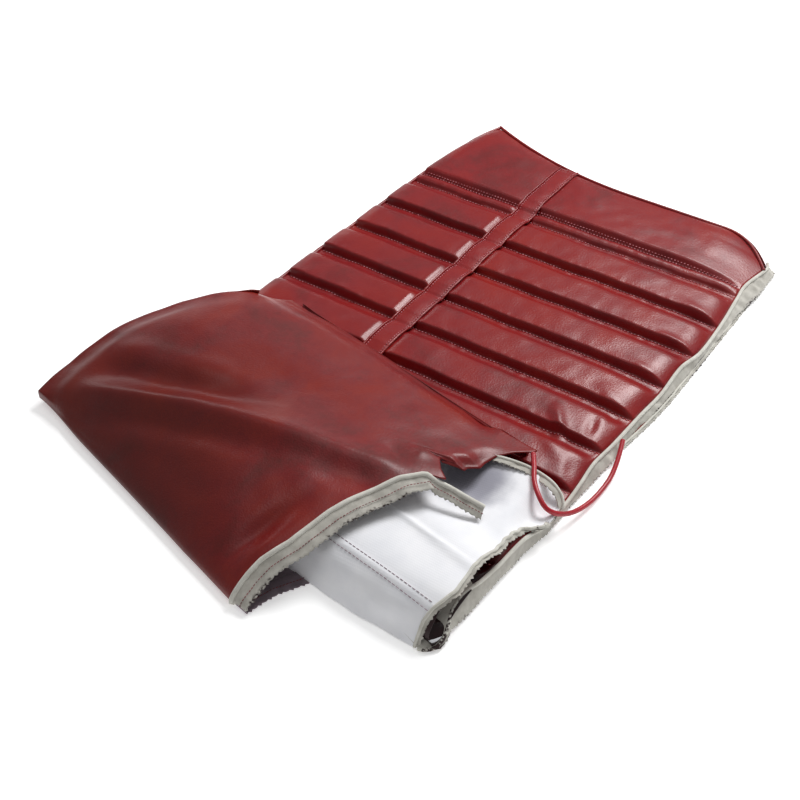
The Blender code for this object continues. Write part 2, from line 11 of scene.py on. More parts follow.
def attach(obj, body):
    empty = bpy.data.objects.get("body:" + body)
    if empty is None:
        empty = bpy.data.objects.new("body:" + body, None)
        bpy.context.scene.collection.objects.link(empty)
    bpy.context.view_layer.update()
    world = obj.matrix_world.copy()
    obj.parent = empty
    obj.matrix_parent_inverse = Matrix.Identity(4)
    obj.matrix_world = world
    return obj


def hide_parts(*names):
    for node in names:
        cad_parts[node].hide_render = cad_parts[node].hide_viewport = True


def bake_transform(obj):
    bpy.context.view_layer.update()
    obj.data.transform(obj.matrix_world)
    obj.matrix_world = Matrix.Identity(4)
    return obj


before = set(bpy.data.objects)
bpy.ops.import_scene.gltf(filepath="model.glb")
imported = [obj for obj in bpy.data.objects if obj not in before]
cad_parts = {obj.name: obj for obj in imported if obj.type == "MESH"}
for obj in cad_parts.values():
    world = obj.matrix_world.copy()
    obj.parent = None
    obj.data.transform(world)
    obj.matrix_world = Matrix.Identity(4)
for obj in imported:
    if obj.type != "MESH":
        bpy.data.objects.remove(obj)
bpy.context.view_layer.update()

# ------------------------------------------------------------------ camera
# A product shot from the fold's mouth corner, a little above the table, with a mild long lens.
camera_data = bpy.data.cameras.new("camera")
camera_data.sensor_width = 36.0
camera_data.lens = 58.5
camera = bpy.data.objects.new("camera", camera_data)
bpy.context.scene.collection.objects.link(camera)
HEADING = (0.8249, 0.5653)
DIP = (0.7537, -0.6572)
CAMERA_PLACE = (-1.0460, -0.6657, 0.9890)
camera_right = Vector((HEADING[1], -HEADING[0], 0.0))
camera_ahead = Vector((HEADING[0] * DIP[0], HEADING[1] * DIP[0], DIP[1]))
camera_up = camera_right.cross(camera_ahead)
turn = Matrix((camera_right, camera_up, -camera_ahead)).transposed().to_4x4()
camera.matrix_world = Matrix.Translation(CAMERA_PLACE) @ turn
bpy.context.scene.camera = camera

# ------------------------------------------------------------------ loose piping
# The end of the flap's piping has come away at the torn corner. It is a soft vinyl cord that
# arches off the corner, drops to the table and lies along the mouth, with its torn end bare.
TAIL_ROUTE = [(-0.1420, -0.2170, 0.0425), (-0.1600, -0.2285, 0.0430), (-0.1755, -0.2375, 0.0420),
              (-0.1885, -0.2495, 0.0400), (-0.1960, -0.2640, 0.0330), (-0.1858, -0.2745, 0.0220),
              (-0.1645, -0.2815, 0.0110), (-0.1334, -0.2867, 0.0050), (-0.0950, -0.2868, 0.0036),
              (-0.0680, -0.2825, 0.0094), (-0.0425, -0.2752, 0.0162)]
TAIL_R = 0.0028


def smooth_route(route, steps):
    """A smooth curve through the route's own points."""
    points = [Vector(p) for p in route]
    points = [2 * points[0] - points[1]] + points + [2 * points[-1] - points[-2]]
    curve = []
    for a, b, c, d in zip(points, points[1:], points[2:], points[3:]):
        for k in range(steps):
            t = k / steps
            bend = (2 * a - 5 * b + 4 * c - d) * t * t + (3 * b - a - 3 * c + d) * t ** 3
            curve.append(0.5 * (2 * b + (c - a) * t + bend))
    return curve + [points[-2]]


def route_length(points):
    return sum((b - a).length for a, b in zip(points, points[1:]))


def cord(name, points, radius, finish):
    """A round cord through points, in one material."""
    curve = bpy.data.curves.new(name, "CURVE")
    curve.dimensions = "3D"
    curve.bevel_depth = radius
    curve.bevel_resolution = 3
    curve.use_fill_caps = True
    spline = curve.splines.new("POLY")
    spline.points.add(len(points) - 1)
    for item, point in zip(spline.points, points):
        item.co = (*point, 1.0)
    spline.use_smooth = True
    obj = bpy.data.objects.new(name, curve)
    bpy.context.scene.collection.objects.link(obj)
    curve.materials.append(finish)
    return obj


def hex_colour(text):
    """An sRGB hex colour as linear RGBA."""
    parts = [int(text[i:i + 2], 16) / 255.0 for i in (1, 3, 5)]
    linear = [p / 12.92 if p <= 0.04045 else ((p + 0.055) / 1.055) ** 2.4 for p in parts]
    return (*linear, 1.0)


def add(mat, kind, settings=None, inputs=None):
    """Adds a node with its settings, and sets or links its inputs by name or number."""
    item = mat.node_tree.nodes.new("ShaderNode" + kind)
    for key, value in (settings or {}).items():
        setattr(item, key, value)
    for key, value in (inputs or {}).items():
        if isinstance(value, bpy.types.NodeSocket):
            mat.node_tree.links.new(value, item.inputs[key])
        else:
            item.inputs[key].default_value = value
    return item


def new_material(name):
    """An empty node material with its shader and output."""
    mat = bpy.data.materials.new(name)
    mat.use_nodes = True
    return mat, mat.node_tree.nodes["Principled BSDF"]


def plug(mat, shader, **sockets):
    """Sets or links the shader's own sockets."""
    for key, value in sockets.items():
        socket = shader.inputs[key.replace("_", " ")]
        if isinstance(value, bpy.types.NodeSocket):
            mat.node_tree.links.new(value, socket)
        else:
            socket.default_value = value


MM = 0.001


def stops(ramp, *pairs):
    """Sets a colour ramp's stops from (place, hex colour) pairs."""
    elements = ramp.color_ramp.elements
    while len(elements) < len(pairs):
        elements.new(0.5)
    for element, (place, colour) in zip(elements, pairs):
        element.position = place
        element.color = hex_colour(colour)
    return ramp.outputs["Color"]


def tint_round(mat, place, colour, tint, spot, near, far, share=1.0, stray=None):
    """Mixes in a tint round one spot: full inside near, gone past far, with an uneven edge if asked."""
    spread = add(mat, "Mapping", None, {"Vector": place, "Location": spot}).outputs[0]
    away = add(mat, "VectorMath", {"operation": "LENGTH"}, {0: spread}).outputs["Value"]
    if stray:
        away = add(mat, "Math", {"operation": "MULTIPLY_ADD"}, {0: stray, 1: 0.030, 2: away}).outputs[0]
    amount = add(mat, "MapRange", {"interpolation_type": "SMOOTHSTEP"},
                 {"Value": away, "From Min": near, "From Max": far, "To Min": share, "To Max": 0.0})
    return add(mat, "Mix", {"data_type": "RGBA"},
               {"Factor": amount.outputs["Result"], 6: colour, 7: hex_colour(tint)}).outputs[2]


def vinyl(name, shade, middle, warm, gloss, painted_shade=None, spot=(0.0, 0.0, 0.0), reach=(0.0, 1.0, 1.0)):
    """Calendered PVC leathercloth: a fine pressed grain, satin gloss and a mottled dye."""
    mat, shader = new_material(name)
    place = add(mat, "TexCoord").outputs["Object"]
    cloud = add(mat, "TexNoise", None, {"Vector": place, "Scale": 1 / (75 * MM), "Detail": 4.0,
                                        "Roughness": 0.52, "Distortion": 0.5})
    fleck = add(mat, "TexNoise", None, {"Vector": place, "Scale": 1 / (7 * MM), "Detail": 4.0,
                                        "Roughness": 0.7})
    both = add(mat, "Math", {"operation": "MULTIPLY_ADD"},
               {0: fleck.outputs["Fac"], 1: 0.30, 2: -0.15})
    mixed = add(mat, "Math", {"operation": "ADD"}, {0: cloud.outputs["Fac"], 1: both.outputs[0]})
    ramp = add(mat, "ValToRGB", None, {"Fac": mixed.outputs[0]})
    colour = stops(ramp, (0.28, shade), (0.46, middle), (0.74, warm))
    if painted_shade:
        # Darkened towards one spot: painted shade, for a corner or slope that lies in shadow.
        colour = tint_round(mat, place, colour, painted_shade, spot, *reach)
    # The real grain is about 1 mm wide. It is drawn at 2 mm so that it shows.
    grain = add(mat, "TexVoronoi", {"feature": "SMOOTH_F1"},
                {"Vector": place, "Scale": 1 / (2.0 * MM), "Smoothness": 0.6})
    pores = add(mat, "TexNoise", None, {"Vector": place, "Scale": 1 / (3.5 * MM), "Detail": 3.0})
    height = add(mat, "Math", {"operation": "ADD"},
                 {0: grain.outputs["Distance"], 1: pores.outputs["Fac"]})
    bump = add(mat, "Bump", None, {"Height": height.outputs[0], "Strength": 0.32,
                                   "Distance": 0.35 * MM})
    rough = add(mat, "MapRange", None, {"Value": mixed.outputs[0], "From Min": 0.3, "From Max": 0.7,
                                        "To Min": gloss + 0.06, "To Max": gloss - 0.05})
    plug(mat, shader, Base_Color=colour, Roughness=rough.outputs["Result"], Normal=bump.outputs["Normal"],
         IOR=1.46)
    return mat


tail_vinyl = vinyl("piping_vinyl_bright", "#8C0F1C", "#A51626", "#B8262F", 0.34)
tail_points = smooth_route(TAIL_ROUTE, 3)
tail = cord("loose_piping", tail_points, TAIL_R, tail_vinyl)
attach(tail, "flap")
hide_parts("piping_tail")
round(route_length(tail_points), 4)

# ------------------------------------------------------------------ table and light
# A white sweep and three soft boxes: one high on the right, whose sheen runs along the flutes,
# a weak low one behind that lifts the far edges, and a weak wide one overhead.
floor_bm = bmesh.new()
TABLE_HALF = 6.0
TABLE_Z = -0.0008
bmesh.ops.create_grid(floor_bm, x_segments=1, y_segments=1, size=TABLE_HALF)
bmesh.ops.translate(floor_bm, verts=floor_bm.verts[:], vec=(0.0, 0.0, TABLE_Z))
floor_mesh = bpy.data.meshes.new("table")
floor_bm.to_mesh(floor_mesh)
floor_bm.free()
table = bpy.data.objects.new("table", floor_mesh)
bpy.context.scene.collection.objects.link(table)
paper, paper_shader = new_material("white_paper_sweep")
plug(paper, paper_shader, Base_Color=hex_colour("#F4F4F4"), Roughness=0.9, Emission_Color=(1, 1, 1, 1),
     Emission_Strength=0.42)
floor_mesh.materials.append(paper)


def softbox(name, towards, distance, width, height, watts):
    """A rectangular lamp in a direction from the cover, facing it."""
    lamp = bpy.data.lights.new(name, "AREA")
    lamp.shape = "RECTANGLE"
    lamp.size = width
    lamp.size_y = height
    lamp.energy = watts
    obj = bpy.data.objects.new(name, lamp)
    bpy.context.scene.collection.objects.link(obj)
    direction = Vector(towards).normalized()
    obj.location = direction * distance
    obj.rotation_euler = direction.to_track_quat("Z", "Y").to_euler()


softbox("key_softbox", (0.62, -0.09, 0.77), distance=2.6, width=1.3, height=1.1, watts=66.0)
softbox("rim_softbox", (0.50, 0.80, 0.34), distance=2.8, width=1.8, height=0.5, watts=5.0)
softbox("top_softbox", (-0.10, 0.10, 1.0), distance=2.6, width=1.6, height=1.6, watts=9.0)
world = bpy.data.worlds.new("studio")
bpy.context.scene.world = world
world.use_nodes = True
world.node_tree.nodes["Background"].inputs["Color"].default_value = (1.0, 1.0, 1.0, 1.0)
world.node_tree.nodes["Background"].inputs["Strength"].default_value = 0.24
bpy.context.scene.view_settings.view_transform = "Standard"

# ------------------------------------------------------------------ back panel on the table
# The plain back of the cover lies under the right part. One layer of vinyl, cut to the outline
# of the backrest and sewn into the boxing all round but the mouth.
FLUTE_PITCH = 0.070
STRIP_WIDTH = 0.018
END_SEAM_X = 0.2955
END_X = 0.404
CLOSED_Y = 0.226
MOUTH_Y = -0.281
FOLD_TAN = math.tan(math.radians(8.0))
FOLD_X = -0.3775
FOLD_LEAD = 0.022
CLEAR = 0.0005
WELT_R = 0.0023
WELT_Z = 0.0205


def smooth(t):
    """0 below 0, 1 above 1, and a soft S between."""
    t = min(max(t, 0.0), 1.0)
    return t * t * (3.0 - 2.0 * t)


CLOSED_SLOPE = 0.03
CORNER_SPAN = 0.17
CORNER_DROP = 0.023


def closed_edge(x):
    """Y of the closed edge: almost straight, then curving in to the right corner."""
    past = max(0.0, (x - END_SEAM_X) / CORNER_SPAN)
    return CLOSED_Y - CLOSED_SLOPE * x - CORNER_DROP * past * past


def mouth_edge(x):
    """Y of the mouth edge, which steps back towards the fold."""
    return MOUTH_Y + 0.026 * smooth((0.08 - x) / 0.30)


END_BOW_Y = -0.06
MOUTH_CORNER = 0.083


def end_edge(y):
    """X of the right end: bowed out towards the closed edge and cut away at the mouth."""
    cut = 0.055 * max(0.0, (MOUTH_Y + MOUTH_CORNER - y) / 0.08) ** 2
    return END_X + max(0.0, y - END_BOW_Y) ** 2 - cut


def sewn_side(x):
    """The closed edge's seam, just inside its piping."""
    return closed_edge(x) - WELT_R - CLEAR


def sewn_end(y):
    """The right end's seam, just inside its piping."""
    return end_edge(y) - WELT_R - CLEAR


def fold_line(y):
    """X of the fold, which runs askew across the cover."""
    return FOLD_X + FOLD_TAN * y


def inner_line(y):
    """X where the flat panels end and the turn of the fold begins."""
    return fold_line(y) + FOLD_LEAD


def fit(x_at, low_at, high_at, v):
    """The point at share v between two long edges, on a line whose X depends on Y."""
    y = 0.0
    for _ in range(5):
        x = x_at(y)
        y = low_at(x) + (high_at(x) - low_at(x)) * v
    return x_at(y), y


def ripple(x, y, size, seed=0.0):
    """Slow, smooth unevenness, about -1 to 1, of a given size in metres."""
    return noise.noise(Vector((x / size, y / size, seed))) * 1.6


def cloth_grid(columns, rows, place, inside=(0.0, 0.0, -10.0)):
    """A grid of cloth: place(u, v) puts each crossing, and its faces turn away from inside."""
    bm = bmesh.new()
    bm.loops.layers.uv.new("cloth")
    bmesh.ops.create_grid(bm, x_segments=columns, y_segments=rows, size=0.5, calc_uvs=True)
    for vert in bm.verts:
        vert.co = place(vert.co.x + 0.5, vert.co.y + 0.5)
    bm.normal_update()
    middle = Vector(inside)
    if sum(f.normal.dot(f.calc_center_median() - middle) * f.calc_area() for f in bm.faces) < 0.0:
        bmesh.ops.reverse_faces(bm, faces=bm.faces[:])
    return bm


def make(name, bm, *finishes):
    """Turns the bmesh into a smooth shaded object at the origin."""
    mesh = bpy.data.meshes.new(name)
    bm.to_mesh(mesh)
    bm.free()
    for polygon in mesh.polygons:
        polygon.use_smooth = True
    for finish in finishes:
        mesh.materials.append(finish)
    obj = bpy.data.objects.new(name, mesh)
    bpy.context.scene.collection.objects.link(obj)
    return obj


def thicken(obj, wall):
    """Gives a sheet its wall, on the inner side of its faces."""
    solid = obj.modifiers.new("wall", "SOLIDIFY")
    solid.thickness = wall
    solid.offset = -1.0
    return obj


def back_point(u, v):
    def x_at(y):
        left = inner_line(y) + CLEAR
        return left + (sewn_end(y) - left) * u
    x, y = fit(x_at, mouth_edge, sewn_side, v)
    lift = 0.0006 + 0.0006 * ripple(x, y, 0.06)
    return x, y, 0.0010 + max(lift, 0.0)


back_red = vinyl("back_panel_vinyl", "#5C0D0B", "#761214", "#882214", 0.37)
back_panel = thicken(make("back_panel_table", cloth_grid(80, 56, back_point), back_red), 0.0010)
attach(back_panel, "root")
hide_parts("back_panel_base")

# ------------------------------------------------------------------ pleated front
# Nine flutes of red vinyl sewn through strips of foam to a white cloth. A flute starts low and
# flat beside its seam, rises slowly, and drops steeply at the next seam. Ends are pulled down.
LINING_Z = 0.0095
VALLEY_Z = 0.0152
CREST_Z = 0.0245
EDGE_Z = 0.0120
BAND_Y = 0.0415
BAND_WIDTH = 0.031
BASE_FLUTES = 9
MOUTH_ROLL = 0.080
CLOSED_ROLL = 0.022
BAND_PULL = 0.36
# Folds and pinches in the flutes by the mouth: x, y, heading in degrees, length, width, height.
MOUTH_FOLDS = [(-0.063, -0.205, 38, 0.060, 0.011, 0.0046), (-0.050, -0.240, 15, 0.034, 0.009, -0.0032),
               (-0.040, -0.186, 20, 0.024, 0.010, -0.0012), (0.010, -0.232, 60, 0.040, 0.014, 0.0016),
               (0.075, -0.236, 80, 0.045, 0.012, 0.0018), (-0.105, -0.222, 55, 0.050, 0.014, 0.0018),
               (-0.118, -0.250, 20, 0.030, 0.010, -0.0018), (0.143, -0.245, 85, 0.040, 0.010, 0.0016),
               (0.215, -0.240, 80, 0.040, 0.012, 0.0016), (-0.020, -0.250, 10, 0.030, 0.010, -0.0016)]


# The bound mouth edge, from the right corner to the fold: x, y, z of the bead.
BASE_BEAD = [(0.3700, -0.2745, 0.0130), (0.3560, -0.2780, 0.0125), (0.3074, -0.2705, 0.0140),
             (0.2732, -0.2725, 0.0125), (0.2176, -0.2770, 0.0105), (0.1527, -0.2795, 0.0120),
             (0.1082, -0.2735, 0.0150), (0.0565, -0.2735, 0.0105), (0.0134, -0.2700, 0.0095),
             (-0.0520, -0.2680, 0.0120), (-0.0900, -0.2650, 0.0125), (-0.1251, -0.2670, 0.0105),
             (-0.1578, -0.2680, 0.0095), (-0.2010, -0.2680, 0.0140), (-0.2306, -0.2632, 0.0205),
             (-0.2520, -0.2611, 0.0215), (-0.2798, -0.2598, 0.0220), (-0.3087, -0.2560, 0.0220),
             (-0.3230, -0.2520, 0.0220), (-0.3371, -0.2500, 0.0215), (-0.3552, -0.2512, 0.0180),
             (-0.3684, -0.2560, 0.0125), (-0.3790, -0.2580, 0.0070), (-0.3884, -0.2560, 0.0030),
             (-0.3960, -0.2490, 0.0022), (-0.3992, -0.2410, 0.0022)]
front_line = smooth_route(BASE_BEAD, 8)
MOUTH_LAP = 0.0016
BEAD_CREST = 0.0225


def bead_at(x):
    """Y and z of the bead at x."""
    for a, b in zip(front_line, front_line[1:]):
        if b.x <= x <= a.x:
            t = (a.x - x) / max(a.x - b.x, 1e-6)
            return a.y + (b.y - a.y) * t, a.z + (b.z - a.z) * t
    end = front_line[0] if x > front_line[0].x else front_line[-9]
    return end.y, end.z


def mouth_line(x):
    """Y where the front's vinyl goes under the binding."""
    return bead_at(x)[0] + MOUTH_LAP


def seam_x(i):
    """Seam number i, counted from the right: 0 and 1 are the double seam."""
    return END_SEAM_X if i == 0 else END_SEAM_X - STRIP_WIDTH - (i - 1) * FLUTE_PITCH


def fold_marks(x, y, marks):
    """Height of the small folds at a point."""
    total = 0.0
    for mx, my, heading, length, width, height in marks:
        dx, dy = x - mx, y - my
        if abs(dx) > 0.2 or abs(dy) > 0.2:
            continue
        a = math.radians(heading)
        along = dx * math.cos(a) + dy * math.sin(a)
        across = dy * math.cos(a) - dx * math.sin(a)
        total += height * math.exp(-(2.2 * along / length) ** 2 - (1.7 * across / width) ** 2)
    return total


def flute_share(s):
    """Height across one flute, from its right seam (0) to its left seam (1)."""
    rise = smooth((s - 0.11) / 0.27)
    fall = smooth((1.0 - s) / 0.075) ** 0.8
    return min(rise, fall) * (1.0 + 0.10 * math.sin(math.pi * s))


def mouth_fall(x, y):
    """0 at the bound mouth, 1 where the front has risen to its full height."""
    far = min(max((y - mouth_line(x)) / MOUTH_ROLL, 0.0), 1.0)
    return 1.0 - (1.0 - far) ** 1.75


def closed_fall(x, y):
    """0 at the closed edge, rising round a quarter circle to 1."""
    far = min(max((closed_edge(x) - y) / CLOSED_ROLL, 0.0), 1.0)
    return math.sqrt(max(0.0, 1.0 - (1.0 - far) ** 2))


def band_pinch(y):
    """The band pulls the flutes down on both of its sides."""
    gap = max(0.0, abs(y - BAND_Y) - BAND_WIDTH / 2 + 0.001)
    return 1.0 - BAND_PULL * math.exp(-(gap / 0.0055) ** 1.5)


def seam_wander(x, y):
    """How far a seam strays sideways from its straight line."""
    return 0.0011 * ripple(x * 0.2, y, 0.045, 3.0)


def face_z(x, y):
    """Top of the pleated front."""
    wander = seam_wander(x, y)
    share, number, s = 1.0, 0, 0.5
    xs = min(x + wander, END_SEAM_X)
    for i in range(BASE_FLUTES + 2):
        right, left = seam_x(i), seam_x(i + 1)
        if left <= xs <= right:
            s = (right - xs) / (right - left)
            number = i
            share = math.sin(math.pi * s) ** 0.6 * 0.62 if i == 0 else flute_share(s)
            break
    near_seam = min(s, 1.0 - s) * (STRIP_WIDTH if number == 0 else FLUTE_PITCH)
    groove = 0.0022 * math.exp(-(near_seam / 0.0016) ** 2)
    plump = 1.0 + 0.07 * ripple(x, y, 0.055, 1.0) + 0.03 * ripple(x, y, 0.018, 2.0)
    mouth, closed = mouth_fall(x, y), closed_fall(x, y)
    pinch = band_pinch(y)
    near_mouth = min(max((y - mouth_line(x)) / 0.026, 0.0), 1.0)
    kept = 1.0 - (1.0 - near_mouth) ** 2
    relief = (CREST_Z - VALLEY_Z) * share * plump * pinch * (0.10 + 0.90 * kept)
    relief += 0.0011 * share * math.exp(-((y - BAND_Y - 0.0205) / 0.0030) ** 2)
    gather = 0.0005 * ripple(x * 0.7, y, 0.0075, 5.0) * math.exp(-(near_seam / 0.010) ** 2)
    relief += gather - groove * (0.3 + 0.7 * kept)
    edge = min(bead_at(x)[1], BEAD_CREST) + 0.0008
    level = edge + (VALLEY_Z - edge) * (0.04 + 0.96 * mouth) + relief
    level = EDGE_Z + 0.004 + (level - EDGE_Z - 0.004) * (0.40 + 0.60 * closed)
    return level + fold_marks(x, y, MOUTH_FOLDS)


ACROSS_SHARES = [0.0, 0.015, 0.03, 0.05, 0.08, 0.11, 0.145, 0.18, 0.22, 0.26, 0.31, 0.36, 0.43, 0.50,
                 0.58, 0.66, 0.74, 0.81, 0.86, 0.895, 0.92, 0.94, 0.955, 0.97, 0.985]
pleat_columns = [seam_x(0) + (seam_x(1) - seam_x(0)) * k / 10 for k in range(10)]
for i in range(1, BASE_FLUTES):
    pleat_columns += [seam_x(i) - FLUTE_PITCH * s for s in ACROSS_SHARES]
LAST_SPREAD = 44
pleat_count = len(pleat_columns) + LAST_SPREAD


def pleat_plan(u, v):
    k = round(u * pleat_count)

    def x_at(y):
        if k < len(pleat_columns):
            return pleat_columns[k]
        start = seam_x(BASE_FLUTES)
        share = (k - len(pleat_columns)) / LAST_SPREAD
        return start + (inner_line(y) + CLEAR - start) * share
    return fit(x_at, mouth_line, sewn_side, v)


def pleat_point(u, v):
    x, y = pleat_plan(u, v)
    return x, y, face_z(x, y)


def close_under(bm, level):
    """Drops a wall from the outline to a flat underside in the second material."""
    rim = [e for e in bm.edges if e.is_boundary]
    wall = bmesh.ops.extrude_edge_only(bm, edges=rim)["geom"]
    low = [g for g in wall if isinstance(g, bmesh.types.BMVert)]
    for vert in low:
        vert.co.z = level
    edges = [g for g in wall if isinstance(g, bmesh.types.BMEdge) and g.is_boundary]
    floor_faces = bmesh.ops.contextual_create(bm, geom=edges)["faces"]
    for face in floor_faces:
        face.material_index = 1
        face.smooth = False
    bmesh.ops.recalc_face_normals(bm, faces=bm.faces[:])
    return bm


front_red = vinyl("front_panel_vinyl", "#6A0C0F", "#7E1216", "#8B1F1A", 0.33)
# Darkened towards the mouth beside the fold: painted shade inside the fold's dark mouth.
pleat_red = vinyl("pleated_panel_vinyl_painted_shade", "#6A0C0F", "#7E1216", "#8B1F1A", 0.33, "#1E0509",
                  spot=(0.375, 0.245, 0.0), reach=(0.060, 0.150, 1.0))


def lining(name, light, dark, painted_shadow=None, spot=(0.0, 0.0, 0.0)):
    """Brushed cotton backing of leathercloth: matt white with a fine, faint weave."""
    mat, shader = new_material(name)
    place = add(mat, "TexCoord").outputs["Object"]
    cloud = add(mat, "TexNoise", None, {"Vector": place, "Scale": 1 / (30 * MM), "Detail": 4.0})
    ramp = add(mat, "ValToRGB", None, {"Fac": cloud.outputs["Fac"]})
    colour = stops(ramp, (0.25, dark), (0.70, light))
    if painted_shadow:
        # A greyed patch about 60 mm across at the torn corner: painted shadow, cast by the flap hanging over
        # it.
        colour = tint_round(mat, place, colour, painted_shadow, spot, 0.036, 0.072, stray=cloud.outputs["Fac"])
    # Threads of about 0.6 mm are drawn at 1.4 mm so that they show.
    warp = add(mat, "TexWave", {"bands_direction": "X"}, {"Vector": place, "Scale": 1 / (9 * MM)})
    weft = add(mat, "TexWave", {"bands_direction": "Y"}, {"Vector": place, "Scale": 1 / (9 * MM)})
    nap = add(mat, "TexNoise", None, {"Vector": place, "Scale": 1 / (2 * MM), "Detail": 3.0})
    cross = add(mat, "Math", {"operation": "MULTIPLY"}, {0: warp.outputs["Fac"], 1: weft.outputs["Fac"]})
    height = add(mat, "Math", {"operation": "ADD"}, {0: cross.outputs[0], 1: nap.outputs["Fac"]})
    bump = add(mat, "Bump", None, {"Height": height.outputs[0], "Strength": 0.20, "Distance": 0.3 * MM})
    plug(mat, shader, Base_Color=colour, Roughness=0.82, Normal=bump.outputs["Normal"],
         Sheen_Weight=0.15, Sheen_Roughness=0.5)
    return mat


white_cloth = lining("white_lining_cloth", "#FAFAFD", "#EFF0F5")
pleated = make("pleated_front", close_under(cloth_grid(pleat_count, 150, pleat_point), LINING_Z),
               pleat_red, white_cloth)
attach(pleated, "root")
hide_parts("pleated_face_base", "backing_cloth_base", "strip_foam_right",
            *[f"flute_foam_{n:02d}" for n in range(1, BASE_FLUTES + 1)])

# ------------------------------------------------------------------ right bolster
# The plain end panel past the double seam, on one piece of thinner foam, soft and a little
# hollow, sewn to the end piping.
BOLSTER_MARKS = [(0.372, -0.13, 70, 0.090, 0.030, -0.0016), (0.395, 0.03, 62, 0.110, 0.022, 0.0012),
                 (0.345, 0.12, 75, 0.120, 0.035, -0.0012)]


END_ROLL = 0.040
BOLSTER_FOOT = 0.0130


def bolster_z(x, y):
    """Top of the bolster: plump in the middle, rolled down to the end piping and the mouth."""
    rise = 0.22 + 0.78 * smooth((x - END_SEAM_X) / 0.010)
    far = min(max((sewn_end(y) - x) / END_ROLL, 0.0), 1.0)
    to_end = 0.58 + 0.42 * math.sqrt(max(0.0, 1.0 - (1.0 - far) ** 2))
    mouth, closed = mouth_fall(x, y), closed_fall(x, y)
    height = CREST_Z + 0.0016 + 0.0009 * ripple(x, y, 0.07, 7.0) + 0.0003 * ripple(x, y, 0.02, 8.0)
    dip = 0.12 * math.exp(-((y - BAND_Y) / 0.022) ** 2)
    share = min(rise, to_end) * (0.06 + 0.94 * mouth) * (0.5 + 0.5 * closed) - dip
    return BOLSTER_FOOT + (height - BOLSTER_FOOT) * share + fold_marks(x, y, BOLSTER_MARKS)


def bolster_point(u, v):
    bow = 1.0 - (1.0 - u) ** 1.15

    def x_at(y):
        return END_SEAM_X + (sewn_end(y) - END_SEAM_X) * bow
    x, y = fit(x_at, mouth_line, sewn_side, v)
    return x, y, bolster_z(x, y)


bolster = make("right_bolster", close_under(cloth_grid(64, 150, bolster_point), LINING_Z),
               front_red, white_cloth)
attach(bolster, "root")
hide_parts("bolster_face_right", "bolster_foam_right")

# ------------------------------------------------------------------ flute stitching
# Lockstitch in bonded polyester, about 5.5 stitches to 25 mm. Each stitch shows as a short,
# slightly sunken bar. A row runs 3 mm to the left of each seam, on the flat foot of the flute,
# and the first seam has one on its right as well.


def sewing_thread(name, dark, light, patch, roughness):
    """Twisted polyester thread, with its dye uneven over patches of a few stitches."""
    mat, shader = new_material(name)
    place = add(mat, "TexCoord").outputs["Object"]
    cloud = add(mat, "TexNoise", None, {"Vector": place, "Scale": 1 / patch, "Detail": 2.0})
    ramp = add(mat, "ValToRGB", None, {"Fac": cloud.outputs["Fac"]})
    plug(mat, shader, Base_Color=stops(ramp, (0.35, dark), (0.65, light)), Roughness=roughness)
    return mat


thread = sewing_thread("bonded_polyester_thread", "#8A3036", "#D08088", 6 * MM, 0.45)


def stitch_row(bm, points, pitch, length, thick):
    """Lays short bars end to end along a line of points, and adds them to bm."""
    row = bmesh.new()
    left = pitch * 0.5
    for a, b in zip(points, points[1:]):
        run = (b - a).length
        way = (b - a) / max(run, 1e-9)
        while left <= run:
            spin = way.to_track_quat("X", "Z").to_matrix().to_4x4()
            size = Matrix.Diagonal((length / 2, thick * 0.62, thick * 0.5, 1.0))
            bmesh.ops.create_uvsphere(row, u_segments=6, v_segments=4, radius=1.0,
                                      matrix=Matrix.Translation(a + way * left) @ spin @ size)
            left += pitch
        left -= run
    mesh = bpy.data.meshes.new("stitch_row")
    row.to_mesh(mesh)
    row.free()
    bm.from_mesh(mesh)
    bpy.data.meshes.remove(mesh)


def top_z(x, y):
    """Top of the table side, bolster or flutes."""
    return bolster_z(x, y) if x > END_SEAM_X else face_z(x, y)


ROW_ASIDE = 0.0032
ROW_POINTS = 150
seam_bm = bmesh.new()
for i in range(0, BASE_FLUTES + 1):
    for aside in ((ROW_ASIDE,) if i else (-ROW_ASIDE, ROW_ASIDE)):
        row = []
        for k in range(ROW_POINTS):
            x = seam_x(i) - aside
            y = mouth_line(x) + 0.004 + (closed_edge(x) - mouth_line(x) - 0.010) * k / (ROW_POINTS - 1)
            if abs(y - BAND_Y) < BAND_WIDTH / 2:
                continue
            at = x if x > END_SEAM_X else x - seam_wander(x, y)
            high = max(top_z(at - 0.0009, y), top_z(at, y), top_z(at + 0.0009, y))
            row.append(Vector((at, y, high + 0.0003)))
        if row[0].x > inner_line(0.0) + 0.04:
            stitch_row(seam_bm, row, pitch=0.0046, length=0.0030, thick=0.0014)
seam_stitches = make("flute_stitches", seam_bm, thread)
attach(seam_stitches, "root")

# ------------------------------------------------------------------ trim band
# A flat vinyl band sewn across all flutes, with a thin cord turned into each long edge and a
# row of topstitching beside it. It sags a little at each seam.
band_red = vinyl("trim_band_vinyl", "#6C0C10", "#821317", "#8C211B", 0.32)


def band_z(x, y):
    """The band bridges the flutes, and dips where a seam passes below."""
    near = [top_z(x + d, BAND_Y) for d in (-0.010, -0.005, 0.0, 0.005, 0.010)]
    rest = 0.45 * max(near) + 0.55 * sum(near) / len(near)
    across = (y - BAND_Y) / (BAND_WIDTH / 2)
    return rest + 0.0014 + 0.0010 * (1.0 - across * across) + 0.0004 * ripple(x, y, 0.018, 11.0)


def band_span(u):
    right = end_edge(BAND_Y) - WELT_R - 0.003
    return right + (inner_line(BAND_Y) + 0.006 - right) * u


def band_sway(x):
    return 0.0008 * ripple(x, 0.0, 0.05, 12.0)


def band_point(u, v):
    x = band_span(u)
    y = BAND_Y + (v - 0.5) * (BAND_WIDTH - 0.004) + band_sway(x)
    return x, y, band_z(x, y)


